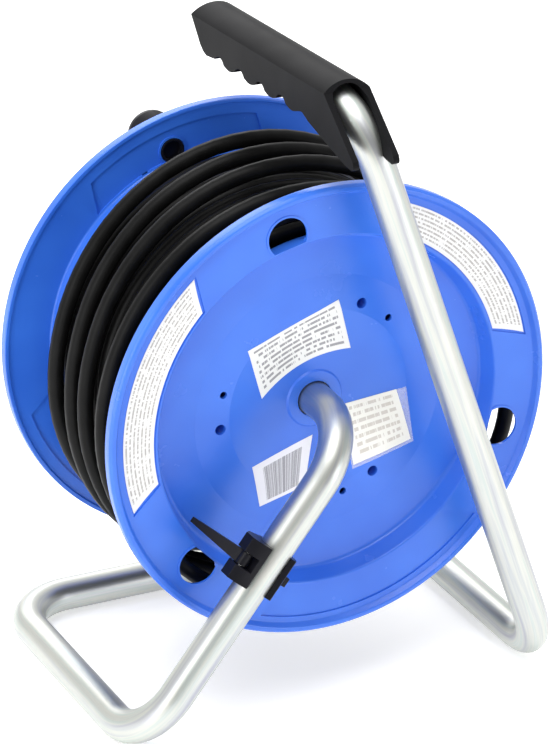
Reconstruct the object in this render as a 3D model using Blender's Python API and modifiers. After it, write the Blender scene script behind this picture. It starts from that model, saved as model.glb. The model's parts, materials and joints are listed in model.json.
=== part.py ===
"""Extension cord reel: a plastic drum with a wound rubber cable, turning on the end of one bent steel tube.

Frame: +Z up. The socket side of the drum faces -Y, the frame's upright and the crown of the leg face +Y.
The origin lies on the floor, in the middle of the reel's own box. The drum's axle is parallel to Y.
Depths on the drum, called "out", are counted from a flange's rim plane, positive away from the drum's middle.
"""
import math

import bmesh
import bpy
from mathutils import Matrix, Vector

MM = 0.001
WELD = 0.00001
GAP = 0.3 * MM

# ---- driving dimensions ------------------------------------------------------------------------------
HUB_Z = 191.0 * MM
DRUM_WIDTH = 165.0 * MM
BACK_Y = 72.0 * MM
FRONT_Y = BACK_Y - DRUM_WIDTH
CORE_R = 90.0 * MM
CORE_WALL = 3.0 * MM

TUBE_R = 10.5 * MM
TUBE_WALL = 1.5 * MM
BEND_R = 38.0 * MM
FOOT_X = 138.0 * MM
UPRIGHT_Y = 101.0 * MM
CROSSBAR_Y = -99.6 * MM
HANDLE_X = 2.5 * MM
HANDLE_Z = 394.0 * MM
HANDLE_SLOPE = math.radians(2.73)
AXLE_END_Y = BACK_Y - 108.0 * MM

HOLE_ANGLES = [75.5, 195.5, 315.5]
HOLE_R = 12.5 * MM
HOLE_CENTRE = 120.5 * MM
CRANK_ANGLE = 74.8
CRANK_CENTRE = 120.4 * MM
CRANK_HOLE_R = 8.0 * MM
HOLE_FLAT = 113.1 * MM
POCKET_INNER_HALF = 28.6
POCKET_OUTER_HALF = 34.0
POCKET_INNER = 114.5 * MM
POCKET_OUTER = 135.0 * MM
POCKET_ANGLES = [14.9, 134.9, 254.9]
SCREW_CIRCLE = 65.5 * MM
DRUM_SCREW_ANGLES = [-5.3, 114.7, 234.7]
VENT_ANGLES = [14.3, 134.3, 254.3]

SOCKET_CIRCLE = 44.0 * MM
SOCKET_ANGLES = [90.0, 210.0, 330.0]
PANEL_R = 82.5 * MM
PANEL_OUT = -15.0 * MM
PANEL_THICK = 3.0 * MM
PANEL_SCREW_CIRCLE = 72.0 * MM
PANEL_SCREW_ANGLES = [30.0, 150.0, 270.0]
COLLAR_R = 25.0 * MM
COLLAR_OUT = -6.0 * MM
RECESS_R = 19.6 * MM
RECESS_DEPTH = 17.5 * MM
PIN_SPACING = 19.0 * MM
LID_HINGE = 29.0 * MM

CABLE_R = 5.1 * MM
PLUG_ANGLE = 226.0
PLUG_OUT = -28.0 * MM
PLUG_R = 17.5 * MM
PLUG_AXIS_R = 136.4 * MM
TAIL = [(150.0, 121.8), (162.0, 122.0), (174.0, 124.6), (186.0, 130.5), (197.0, 137.5)]

STEPS_LARGE = 40
STEPS_SMALL = 16


# ---- scene, materials and placing ---------------------------------------------------------------------
def clear_scene():
    for item in list(bpy.data.objects):
        bpy.data.objects.remove(item)


def new_collection(name):
    made = bpy.data.collections.new(name)
    bpy.context.scene.collection.children.link(made)
    return made


def new_material(name, color, roughness, metallic=0.0):
    made = bpy.data.materials.new(name)
    made.use_nodes = True
    shader = made.node_tree.nodes["Principled BSDF"]
    shader.inputs["Base Color"].default_value = (*color, 1.0)
    shader.inputs["Roughness"].default_value = roughness
    shader.inputs["Metallic"].default_value = metallic
    return made


clear_scene()
REEL = new_collection("extension_cord_reel")
CUTTERS = new_collection("cutters")

BLUE = new_material("blue_plastic", (0.06, 0.16, 0.78), 0.38)
BLACK = new_material("black_plastic", (0.03, 0.03, 0.032), 0.5)
STEEL = new_material("galvanised_steel", (0.62, 0.64, 0.63), 0.35, 1.0)
RUBBER = new_material("black_rubber", (0.015, 0.015, 0.015), 0.55)
BRASS = new_material("contact_brass", (0.78, 0.60, 0.30), 0.3, 1.0)
ZINC = new_material("zinc_steel", (0.70, 0.70, 0.68), 0.3, 1.0)
RED = new_material("button_red", (0.65, 0.05, 0.04), 0.4)
NYLON = new_material("white_nylon", (0.80, 0.80, 0.76), 0.45)
BROWN = new_material("wire_brown", (0.20, 0.08, 0.03), 0.5)
WIRE_BLUE = new_material("wire_blue", (0.05, 0.20, 0.60), 0.5)
GREEN = new_material("wire_green", (0.25, 0.45, 0.05), 0.5)


def turn_axis(direction, angle=0.0, radius=0.0, y=0.0):
    """Frame on the drum. Local Z is +Y (direction 1) or -Y (direction -1), local X points away from the axle."""
    radial = Vector((math.cos(math.radians(angle)), 0.0, math.sin(math.radians(angle))))
    outward = Vector((0.0, direction, 0.0))
    matrix = Matrix((radial, outward.cross(radial), outward)).transposed().to_4x4()
    matrix.translation = Vector((0.0, y, HUB_Z)) + radial * radius
    return matrix


def axes(x, y, z, origin):
    """Frame with the given axes and origin."""
    matrix = Matrix((Vector(x), Vector(y), Vector(z))).transposed().to_4x4()
    matrix.translation = Vector(origin)
    return matrix


def new_parent(name, matrix, parent=None):
    made = bpy.data.objects.new(name, None)
    REEL.objects.link(made)
    made.matrix_basis = matrix
    if parent:
        made.parent = parent
        made.matrix_parent_inverse = parent.matrix_world.inverted()
    bpy.context.view_layer.update()
    return made


BACK = turn_axis(1, y=BACK_Y)
FRONT = turn_axis(-1, y=FRONT_Y)
FRAME_PARENT = new_parent("frame_body", Matrix())
DRUM_PARENT = new_parent("drum_body", turn_axis(1), FRAME_PARENT)


def place(obj, material, matrix, parent):
    """Finishes an object: material, world matrix, parent and collection."""
    REEL.objects.link(obj)
    if material:
        obj.data.materials.append(material)
    obj.parent = parent
    obj.matrix_parent_inverse = parent.matrix_world.inverted()
    obj.matrix_basis = matrix
    return obj


def as_tool(obj):
    """Turns an object into a cutter."""
    for collection in list(obj.users_collection):
        collection.objects.unlink(obj)
    CUTTERS.objects.link(obj)
    obj.hide_render = True
    obj.display_type = "WIRE"
    return obj


def combine(target, tool, operation):
    modifier = target.modifiers.new(tool.name, "BOOLEAN")
    modifier.operation = operation
    modifier.object = as_tool(tool)
    return target


def cut(target, *tools):
    for tool in tools:
        combine(target, tool, "DIFFERENCE")
    return target


def join(target, *tools):
    for tool in tools:
        combine(target, tool, "UNION")
    return target


# ---- shapes -------------------------------------------------------------------------------------------
def arc(centre, radius, start, end, steps):
    """Points on an arc from start to end, in degrees."""
    points = []
    for step in range(steps + 1):
        angle = math.radians(start + (end - start) * step / steps)
        points.append((centre[0] + radius * math.cos(angle), centre[1] + radius * math.sin(angle)))
    return points


def signed_area(points):
    return sum(a[0] * b[1] - b[0] * a[1] for a, b in zip(points, points[1:] + points[:1])) / 2


def turned(name, profile, material, matrix, parent, steps=STEPS_SMALL):
    """Solid of revolution about local Z from (radius, height) points.

    A profile that starts and ends on the axis is open and runs from top to bottom; any other is a closed ring.
    """
    touches_axis = profile[0][0] == 0.0 and profile[-1][0] == 0.0
    if touches_axis:
        points = profile if profile[0][1] > profile[-1][1] else profile[::-1]
    else:
        points = profile if signed_area(profile) < 0 else profile[::-1]
    mesh = bpy.data.meshes.new(name)
    edges = [(i, i + 1) for i in range(len(points) - 1)]
    if not touches_axis:
        edges.append((len(points) - 1, 0))
    mesh.from_pydata([(radius, 0.0, height) for radius, height in points], edges, [])
    obj = place(bpy.data.objects.new(name, mesh), material, matrix, parent)
    screw = obj.modifiers.new("turn", "SCREW")
    screw.axis = "Z"
    screw.angle = math.tau
    screw.steps = steps
    screw.render_steps = steps
    screw.use_merge_vertices = True
    screw.merge_threshold = WELD
    return obj


def disc(name, radius, low, high, material, matrix, parent, steps=STEPS_SMALL):
    """Cylinder about local Z."""
    return turned(name, [(0.0, high), (radius, high), (radius, low), (0.0, low)], material, matrix, parent, steps)


def ring(name, inner, outer, low, high, material, matrix, parent, steps=STEPS_SMALL):
    """Tube wall about local Z."""
    profile = [(inner, low), (outer, low), (outer, high), (inner, high)]
    return turned(name, profile, material, matrix, parent, steps)


def block(name, low, high, material, matrix, parent, bevel=0.0):
    """Box between two corners."""
    bm = bmesh.new()
    bmesh.ops.create_cube(bm, size=1.0)
    size = Vector(high) - Vector(low)
    middle = (Vector(high) + Vector(low)) / 2
    bmesh.ops.scale(bm, vec=size, verts=bm.verts)
    bmesh.ops.translate(bm, vec=middle, verts=bm.verts)
    mesh = bpy.data.meshes.new(name)
    bm.to_mesh(mesh)
    bm.free()
    obj = place(bpy.data.objects.new(name, mesh), material, matrix, parent)
    if bevel:
        modifier = obj.modifiers.new("edges", "BEVEL")
        modifier.width = bevel
        modifier.segments = 1
    return obj


def curve_to_mesh(name, curve_object):
    """Mesh object from a curve object, with its caps welded. The curve is removed."""
    graph = bpy.context.evaluated_depsgraph_get()
    mesh = bpy.data.meshes.new_from_object(curve_object.evaluated_get(graph))
    bm = bmesh.new()
    bm.from_mesh(mesh)
    bmesh.ops.remove_doubles(bm, verts=bm.verts, dist=WELD)
    bm.to_mesh(mesh)
    bm.free()
    bpy.data.objects.remove(curve_object)
    return bpy.data.objects.new(name, mesh)


def plate(name, outline, low, high, material, matrix, parent, holes=()):
    """Flat outline in local XY, with holes, as thick as from low to high along local Z."""
    curve = bpy.data.curves.new(name + "_outline", "CURVE")
    curve.dimensions = "2D"
    curve.fill_mode = "BOTH"
    curve.extrude = (high - low) / 2
    for loop in (outline, *holes):
        spline = curve.splines.new("POLY")
        spline.points.add(len(loop) - 1)
        for point, place_xy in zip(spline.points, loop):
            point.co = (place_xy[0], place_xy[1], 0.0, 1.0)
        spline.use_cyclic_u = True
    outline_object = bpy.data.objects.new(name + "_outline", curve)
    REEL.objects.link(outline_object)
    obj = curve_to_mesh(name, outline_object)
    return place(obj, material, matrix @ Matrix.Translation((0.0, 0.0, (high + low) / 2)), parent)


def circle(radius, steps, distance=0.0, angle=0.0):
    """Points on a circle whose centre lies at a distance and an angle from the local origin."""
    turn = math.radians(angle)
    return arc((distance * math.cos(turn), distance * math.sin(turn)), radius, 0, 360 - 360 / steps, steps - 1)


def rod_curve(name, points, radius, resolution, caps):
    """Round bar along a list of points, as a curve object."""
    curve = bpy.data.curves.new(name, "CURVE")
    curve.dimensions = "3D"
    curve.bevel_depth = radius
    curve.bevel_resolution = resolution
    curve.use_fill_caps = caps
    spline = curve.splines.new("POLY")
    spline.points.add(len(points) - 1)
    for point, place_xyz in zip(spline.points, points):
        point.co = (*place_xyz, 1.0)
    return bpy.data.objects.new(name, curve)


def rod(name, points, radius, material, parent, resolution=2):
    """Solid round bar along world points."""
    return place(rod_curve(name, points, radius, resolution, True), material, Matrix(), parent)


def rod_mesh(name, points, radius, material, parent, resolution=4, caps=True):
    """The same as a mesh, which Boolean and Solidify can work on."""
    curve_object = rod_curve(name + "_path", points, radius, resolution, caps)
    REEL.objects.link(curve_object)
    return place(curve_to_mesh(name, curve_object), material, Matrix(), parent)


def rounded_path(corners, radius, steps):
    """Points along straight runs between corners, with each corner rounded to a bend radius."""
    corners = [Vector(corner) for corner in corners]
    points = [corners[0]]
    for before, corner, after in zip(corners, corners[1:], corners[2:]):
        back = (before - corner).normalized()
        ahead = (after - corner).normalized()
        half = back.angle(ahead) / 2
        centre = corner + (back + ahead).normalized() * radius / math.sin(half)
        first = corner + back * radius / math.tan(half) - centre
        last = corner + ahead * radius / math.tan(half) - centre
        for step in range(steps + 1):
            points.append(centre + first.slerp(last, step / steps).normalized() * radius)
    points.append(corners[-1])
    return points


def smooth_path(knots, steps):
    """Points of a smooth curve (Catmull-Rom) through the knots."""
    knots = [Vector(knot) for knot in knots]
    padded = [2 * knots[0] - knots[1]] + knots + [2 * knots[-1] - knots[-2]]
    points = []
    for a, b, c, d in zip(padded, padded[1:], padded[2:], padded[3:]):
        for step in range(steps):
            t = step / steps
            points.append(0.5 * (2 * b + (c - a) * t + (2 * a - 5 * b + 4 * c - d) * t ** 2
                                 + (3 * b - a - 3 * c + d) * t ** 3))
    points.append(knots[-1])
    return points


def on_drum(radius, angle, y):
    """World point at a radius and an angle about the drum's axle."""
    turn = math.radians(angle)
    return Vector((radius * math.cos(turn), y, HUB_Z + radius * math.sin(turn)))


def coil(radius, length, turns, per_turn=8):
    """Points of a helical spring about local Z."""
    count = turns * per_turn
    points = []
    for step in range(count + 1):
        turn = math.tau * step / per_turn
        points.append(Vector((radius * math.cos(turn), radius * math.sin(turn), length * step / count)))
    return points


# ---- frame ---------------------------------------------------------------------------------------------
LEG_TOP = Vector((0.0, UPRIGHT_Y, HUB_Z))
LEG_FOOT = Vector((FOOT_X, UPRIGHT_Y, TUBE_R))
HANDLE_CORNER = Vector((HANDLE_X, UPRIGHT_Y, HANDLE_Z))
GRIP = Matrix.Translation(HANDLE_CORNER) @ Matrix.Rotation(HANDLE_SLOPE, 4, "X")
TUBE_IN_GRIP = 165.0 * MM


def tube_path(steps):
    """Centre line of the frame tube, from its end inside the drum to its end inside the grip."""
    corners = [
        (0.0, AXLE_END_Y, HUB_Z),
        LEG_TOP,
        LEG_FOOT,
        (FOOT_X, CROSSBAR_Y, TUBE_R),
        (-FOOT_X, CROSSBAR_Y, TUBE_R),
        (-FOOT_X, UPRIGHT_Y, TUBE_R),
        HANDLE_CORNER,
        GRIP @ Vector((0.0, -TUBE_IN_GRIP, 0.0)),
    ]
    return rounded_path(corners, BEND_R, steps)


def build_frame_tube():
    tube = rod_mesh("frame_tube", tube_path(6), TUBE_R, STEEL, FRAME_PARENT, resolution=4, caps=False)
    wall = tube.modifiers.new("wall", "SOLIDIFY")
    wall.thickness = TUBE_WALL
    wall.offset = -1.0


def grip_side_outline():
    """Side view of the grip in its own (Y, Z): slanted mouth, skirt, finger ridges and slanted far end."""
    ridge_pitch = 27.8 * MM
    first_ridge = -57.3 * MM
    outline = [(-15.5, 20.0), (-15.5, 7.0), (20.6, -24.0), (21.4, -26.0), (20.2, -28.0), (17.0, -28.8),
               (11.0, -28.0), (-16.4, -20.8), (-34.0, -15.4)]
    outline = [(y * MM, z * MM) for y, z in outline]
    for step in range(25):
        y = first_ridge + ridge_pitch * (0.5 - step / 6)
        wave = math.cos(math.tau * (y - first_ridge) / ridge_pitch)
        outline.append((y, (-13.6 - 1.2 * wave) * MM))
    outline += [(y * MM, z * MM) for y, z in [(-172.0, -14.0), (-180.0, -10.0), (-193.8, 7.0), (-189.0, 20.0)]]
    return outline


def build_grip():
    half_width = 14.85 * MM
    shoulder = 7.0 * MM
    roof = 13.8 * MM
    rise = roof - shoulder
    roof_r = (half_width ** 2 + rise ** 2) / (2 * rise)
    spread = math.degrees(math.asin(half_width / roof_r))
    side = axes((0, 1, 0), (0, 0, 1), (1, 0, 0), (0, 0, 0))
    along = axes((1, 0, 0), (0, 0, 1), (0, -1, 0), (0, 0, 0))
    far = 220.0 * MM
    deep = -60.0 * MM
    grip = plate("handle_grip", grip_side_outline(), -20 * MM, 20 * MM, BLACK, GRIP @ side, FRAME_PARENT)
    arch = arc((0.0, roof - roof_r), roof_r, 90 - spread, 90 + spread, 8)
    arch += [(-half_width, deep), (half_width, deep)]
    section = plate("grip_section", arch, -far, far, None, GRIP @ along, FRAME_PARENT)
    combine(grip, section, "INTERSECT")
    inner = TUBE_R + 0.45 * MM
    mouth_outline = arc((0.0, -2.0 * MM), inner, 0, 180, 10) + [(-inner, deep), (inner, deep)]
    mouth = plate("grip_mouth", mouth_outline, -far, BEND_R, None, GRIP @ along, FRAME_PARENT)
    bore_end = GRIP @ Vector((0.0, -TUBE_IN_GRIP - 0.3 * MM, 0.0))
    bore_points = tube_path(7)[-10:-1] + [bore_end]
    bore = rod_mesh("grip_bore", bore_points, inner, None, FRAME_PARENT, resolution=5)
    cut(grip, mouth, bore)


def build_axle_parts():
    end = turn_axis(-1, y=AXLE_END_Y)
    plug = disc("axle_end_plug", 8.4 * MM, -13.0 * MM, -0.3 * MM, NYLON, end, FRAME_PARENT)
    cut(plug, disc("plug_hole", 2.5 * MM, -11.0 * MM, 1.0 * MM, None, end, FRAME_PARENT))
    ring("axle_washer", 2.7 * MM, 16.5 * MM, 0.3 * MM, 2.3 * MM, ZINC, end, FRAME_PARENT, 24)
    shank, head = 2.2 * MM, 5.0 * MM
    profile = [(0.0, 5.6 * MM), (head * 0.6, 5.6 * MM), (head, 4.4 * MM), (head, 2.6 * MM), (shank, 2.6 * MM),
               (shank, -9.0 * MM), (0.0, -10.0 * MM)]
    turned("axle_screw", profile, ZINC, end, FRAME_PARENT)


# ---- drum stop on the left leg ---------------------------------------------------------------------------
LEG_RUN = (LEG_FOOT - LEG_TOP).normalized()
STOP_CENTRE = LEG_TOP + LEG_RUN * 97.0 * MM
TO_DRUM = Vector((0.0, -1.0, 0.0))
STOP = axes(TO_DRUM.cross(LEG_RUN), TO_DRUM, LEG_RUN, STOP_CENTRE)
STOP_PIVOT = Vector((19.0, -5.0, 0.0)) * MM
FINGER_ANGLE = 61.4
FINGER_LENGTH = 43.0 * MM
CLAMP_HALF = 14.0 * MM
SLOT_HALF = 4.6 * MM


def build_drum_stop():
    grip_r = TUBE_R + 0.3 * MM
    back_r = 14.4 * MM
    outline = arc((0.0, 0.0), grip_r, 232, -48, 18)
    outline += [(x * MM, y * MM) for x, y in [(11.5, -13.6), (19.0, -12.0), (24.0, -8.0), (24.0, 1.0), (17.5, 8.5)]]
    outline += arc((0.0, 0.0), back_r, 52, 228, 10)
    clamp = plate("stop_clamp", outline, -CLAMP_HALF, CLAMP_HALF, BLACK, STOP, FRAME_PARENT)
    nub = block("stop_nub", (-19.0 * MM, -3.0 * MM, -2.0 * MM), (-13.6 * MM, 3.0 * MM, 4.0 * MM), None, STOP,
                FRAME_PARENT)
    join(clamp, nub)
    pivot = STOP @ Matrix.Translation(STOP_PIVOT)
    slot = block("stop_slot", (-4.3 * MM, -20.0 * MM, -SLOT_HALF), (20.0 * MM, 30.0 * MM, SLOT_HALF), None, pivot,
                 FRAME_PARENT)
    pin_hole = disc("stop_pin_hole", 1.7 * MM, -20.0 * MM, 20.0 * MM, None, pivot, FRAME_PARENT)
    cut(clamp, slot, pin_hole)
    disc("stop_pin", 1.4 * MM, -CLAMP_HALF + 1.0 * MM, CLAMP_HALF - 1.0 * MM, ZINC, pivot, FRAME_PARENT)

    finger_parent = new_parent("stop_finger_body", pivot, FRAME_PARENT)
    lie = pivot @ Matrix.Rotation(math.radians(FINGER_ANGLE), 4, "Z")
    hub_r = 3.8 * MM
    tip_r = 1.5 * MM
    finger_outline = arc((0.0, 0.0), hub_r, 30, 330, 12) + arc((FINGER_LENGTH - tip_r, 0.0), tip_r, -90, 90, 4)
    finger = plate("stop_finger", finger_outline, -2.2 * MM, 2.2 * MM, BLACK, lie, finger_parent)
    cut(finger, disc("finger_hole", 1.8 * MM, -9.0 * MM, 9.0 * MM, None, pivot, finger_parent))


# ---- flanges and core -------------------------------------------------------------------------------------
def rim_and_dish():
    """Outer and inner faces of a flange from its rim to the edge of the flat centre, as (radius, out)."""
    outer = [(145.0, -7.5), (145.0, -1.6), (143.4, 0.0), (141.0, 0.0), (139.0, -3.5), (112.3, -3.5),
             (108.5, -16.0), (82.0, -18.4)]
    inner = [(110.4, -18.3), (114.2, -6.0), (142.4, -6.0), (142.4, -7.5)]
    return [(r * MM, out * MM) for r, out in outer], [(r * MM, out * MM) for r, out in inner]


def truncated_hole():
    """Outline of a flange hole in the flange's frame turned to the hole: round, with a flat towards the axle."""
    spread = math.degrees(math.acos((HOLE_FLAT - HOLE_CENTRE) / HOLE_R))
    return arc((0.0, 0.0), HOLE_R, -spread, spread, 14)


def cut_rim_features(flange, direction, rim_y):
    for index, angle in enumerate(POCKET_ANGLES):
        seat = turn_axis(direction, angle, 0.0, rim_y)
        outline = arc((0.0, 0.0), POCKET_OUTER, -POCKET_OUTER_HALF, POCKET_OUTER_HALF, 7)
        outline += arc((0.0, 0.0), POCKET_INNER, POCKET_INNER_HALF, -POCKET_INNER_HALF, 7)
        pocket = plate(f"{flange.name}_pocket_{index}", outline, -4.7 * MM, -2.0 * MM, None, seat, DRUM_PARENT)
        cut(flange, pocket)
    for index, angle in enumerate(HOLE_ANGLES):
        name = f"{flange.name}_hole_{index}"
        if direction == -1 and index == 0:
            seat = turn_axis(direction, CRANK_ANGLE, CRANK_CENTRE, rim_y)
            hole = disc(name, CRANK_HOLE_R, -10 * MM, 3 * MM, None, seat, DRUM_PARENT)
        else:
            seat = turn_axis(direction, angle, HOLE_CENTRE, rim_y)
            hole = plate(name, truncated_hole(), -10 * MM, 3 * MM, None, seat, DRUM_PARENT)
        cut(flange, hole)


def build_back_flange():
    outer, inner = rim_and_dish()
    centre = [(59.5, -18.0), (17.4, -24.6), (16.6, -23.6), (11.3, -23.6), (11.3, -27.0), (14.4, -27.0),
              (14.4, -105.0), (17.4, -105.0), (17.4, -27.6), (59.5, -20.6), (82.0, -20.9)]
    profile = outer + [(r * MM, out * MM) for r, out in centre] + inner
    flange = turned("back_flange", profile, BLUE, BACK, DRUM_PARENT, STEPS_LARGE)
    cut_rim_features(flange, 1, BACK_Y)
    for index, angle in enumerate(DRUM_SCREW_ANGLES):
        seat = turn_axis(1, angle, SCREW_CIRCLE, BACK_Y)
        join(flange, disc(f"flange_boss_{index}", 5.6 * MM, -31.7 * MM, -19.3 * MM, None, seat, DRUM_PARENT))
        cut(flange, disc(f"flange_well_{index}", 3.4 * MM, -29.7 * MM, -10.0 * MM, None, seat, DRUM_PARENT))
        cut(flange, disc(f"flange_bore_{index}", 1.9 * MM, -35.0 * MM, -28.0 * MM, None, seat, DRUM_PARENT, 8))
    for index, angle in enumerate(VENT_ANGLES):
        seat = turn_axis(1, angle, SCREW_CIRCLE, BACK_Y)
        cut(flange, disc(f"flange_vent_{index}", 2.25 * MM, -30.0 * MM, -10.0 * MM, None, seat, DRUM_PARENT, 12))


def build_front_flange():
    outer, inner = rim_and_dish()
    centre = [(78.6, -18.4), (78.6, -20.9), (82.0, -20.9)]
    profile = [(r * MM, out * MM) for r, out in centre] + inner + outer
    flange = turned("front_flange", profile, BLUE, FRONT, DRUM_PARENT, STEPS_LARGE)
    cut_rim_features(flange, -1, FRONT_Y)


GLAND_ANGLE = 285.0
GLAND_Y = BACK_Y - 55.0 * MM
GLAND_TILT = math.radians(25.0)
GLAND_POINT = on_drum(CORE_R - CORE_WALL / 2, GLAND_ANGLE, GLAND_Y)


def gland_frame():
    """Frame whose Z runs out of the core, along the way the cable leaves: nearly a tangent of the core."""
    turn = math.radians(GLAND_ANGLE)
    radial = Vector((math.cos(turn), 0.0, math.sin(turn)))
    tangent = Vector((-math.sin(turn), 0.0, math.cos(turn)))
    way = tangent * math.cos(GLAND_TILT) + radial * math.sin(GLAND_TILT)
    side = Vector((0.0, 1.0, 0.0))
    return axes(side.cross(way), side, way, GLAND_POINT)


def build_core():
    end_out = -21.2 * MM
    length = DRUM_WIDTH + 2 * end_out
    web_out = -32.0 * MM
    web_thick = 2.5 * MM
    inner_r = CORE_R - CORE_WALL
    hub_r = 17.8 * MM
    profile = [(CORE_R, end_out), (CORE_R, end_out - length), (inner_r, end_out - length),
               (inner_r, web_out - web_thick), (hub_r, web_out - web_thick), (hub_r, web_out), (inner_r, web_out),
               (inner_r, end_out)]
    core = turned("drum_core", profile, BLUE, BACK, DRUM_PARENT, STEPS_LARGE)
    for index, angle in enumerate(DRUM_SCREW_ANGLES):
        seat = turn_axis(1, angle, SCREW_CIRCLE, BACK_Y)
        join(core, disc(f"core_boss_{index}", 4.6 * MM, -46.0 * MM, -33.0 * MM, None, seat, DRUM_PARENT, 12))
        cut(core, disc(f"core_bore_{index}", 1.75 * MM, -44.0 * MM, -31.0 * MM, None, seat, DRUM_PARENT, 8))
    for index, angle in enumerate(PANEL_SCREW_ANGLES):
        seat = turn_axis(-1, angle, PANEL_SCREW_CIRCLE, FRONT_Y)
        pillar_r = 4.2 * MM
        rib = block(f"core_rib_{index}", (0.0, -1.5 * MM, -45.0 * MM), (16.0 * MM, 1.5 * MM, -22.0 * MM), None, seat,
                    DRUM_PARENT)
        pillar = disc(f"core_pillar_{index}", pillar_r, -46.0 * MM, -18.4 * MM, None, seat, DRUM_PARENT, 12)
        join(core, rib, pillar)
        cut(core, disc(f"core_tap_{index}", 1.75 * MM, -32.0 * MM, -17.0 * MM, None, seat, DRUM_PARENT, 8))
    cut(core, disc("core_gland_hole", 7.6 * MM, -26.0 * MM, 26.0 * MM, None, gland_frame(), DRUM_PARENT))


def build_bearings():
    for name, low, high in [("back_bush", -45.0, -27.3), ("inner_bush", -104.9, -88.0)]:
        profile = [(TUBE_R + 0.4 * MM, low * MM), (14.1 * MM, low * MM), (14.1 * MM, high * MM),
                   (TUBE_R + 0.4 * MM, high * MM)]
        if name == "inner_bush":
            thrust = -107.3 * MM
            profile = [(TUBE_R + 0.4 * MM, thrust), (17.0 * MM, thrust), (17.0 * MM, -105.3 * MM),
                       (14.1 * MM, -105.3 * MM)] + profile[2:]
        turned(name, profile, NYLON, BACK, DRUM_PARENT, 24)


def small_screw(name, matrix, parent, seat_height, head_r, shank_r, length):
    """Pan-head screw: the head stands on seat_height, the shank runs down local Z."""
    head = 1.9 * MM
    profile = [(0.0, seat_height + head), (head_r * 0.6, seat_height + head), (head_r, seat_height + head * 0.5),
               (head_r, seat_height), (shank_r, seat_height), (shank_r, seat_height - length),
               (0.0, seat_height - length - shank_r)]
    return turned(name, profile, ZINC, matrix, parent, 12)


def build_screws():
    for index, angle in enumerate(DRUM_SCREW_ANGLES, 1):
        seat = turn_axis(1, angle, SCREW_CIRCLE, BACK_Y)
        small_screw(f"drum_screw_{index}", seat, DRUM_PARENT, -29.4 * MM, 3.0 * MM, 1.45 * MM, 12.0 * MM)
    for index, angle in enumerate(PANEL_SCREW_ANGLES, 1):
        seat = turn_axis(-1, angle, PANEL_SCREW_CIRCLE, FRONT_Y)
        small_screw(f"panel_screw_{index}", seat, DRUM_PARENT, PANEL_OUT + GAP, 3.2 * MM, 1.45 * MM, 13.0 * MM)


# ---- sockets --------------------------------------------------------------------------------------------
LID_AXIS_OUT = COLLAR_OUT + 3.0 * MM
EAR_INNER = 8.0 * MM
EAR_OUTER = 10.5 * MM
BARREL_LOW = -7.6 * MM
BARREL_HIGH = 1.2 * MM
LID_PIN_R = 1.3 * MM


def socket_seat(angle):
    return turn_axis(-1, angle, SOCKET_CIRCLE, FRONT_Y)


def hinge_seat(angle):
    """Frame on a lid's hinge axis: local Z along the pin, local X away from the drum's axle."""
    seat = socket_seat(angle)
    side = axes((1, 0, 0), (0, 0, -1), (0, 1, 0), (LID_HINGE, 0.0, LID_AXIS_OUT))
    return seat @ side


def ear_outline(foot):
    """Side view of a hinge ear in the hinge frame, foot below the axis: the pin snaps in from the open side."""
    half = 2.8 * MM
    top = -2.6 * MM
    seat_r = LID_PIN_R + 0.3 * MM
    mouth = 1.1 * MM
    return [(-half, foot), (-half, top), (-mouth, top)] + arc((0.0, 0.0), seat_r, 227, -47, 8) + [
        (mouth, top), (half, top), (half, foot)]


def build_panel():
    low = PANEL_OUT - PANEL_THICK
    wall_mid = COLLAR_R - 1.4 * MM
    holes = [circle(11.0 * MM, 20)]
    holes += [circle(wall_mid, 24, SOCKET_CIRCLE, angle) for angle in SOCKET_ANGLES]
    holes += [circle(1.9 * MM, 8, PANEL_SCREW_CIRCLE, angle) for angle in PANEL_SCREW_ANGLES]
    rim = circle(PANEL_R, 48)
    panel = plate("socket_panel", rim, low, PANEL_OUT, BLACK, FRONT, DRUM_PARENT, holes)
    for index, angle in enumerate(SOCKET_ANGLES):
        collar = ring(f"panel_collar_{index}", COLLAR_R - 2.7 * MM, COLLAR_R, low - 0.5 * MM, COLLAR_OUT, None,
                      socket_seat(angle), DRUM_PARENT, 24)
        join(panel, collar)
        for side in (-1, 1):
            near, far = sorted((side * EAR_INNER, side * EAR_OUTER))
            foot = LID_AXIS_OUT - low - PANEL_THICK / 2
            ear = plate(f"panel_ear_{index}_{side}", ear_outline(foot), near, far, None, hinge_seat(angle),
                        DRUM_PARENT)
            join(panel, ear)


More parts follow.
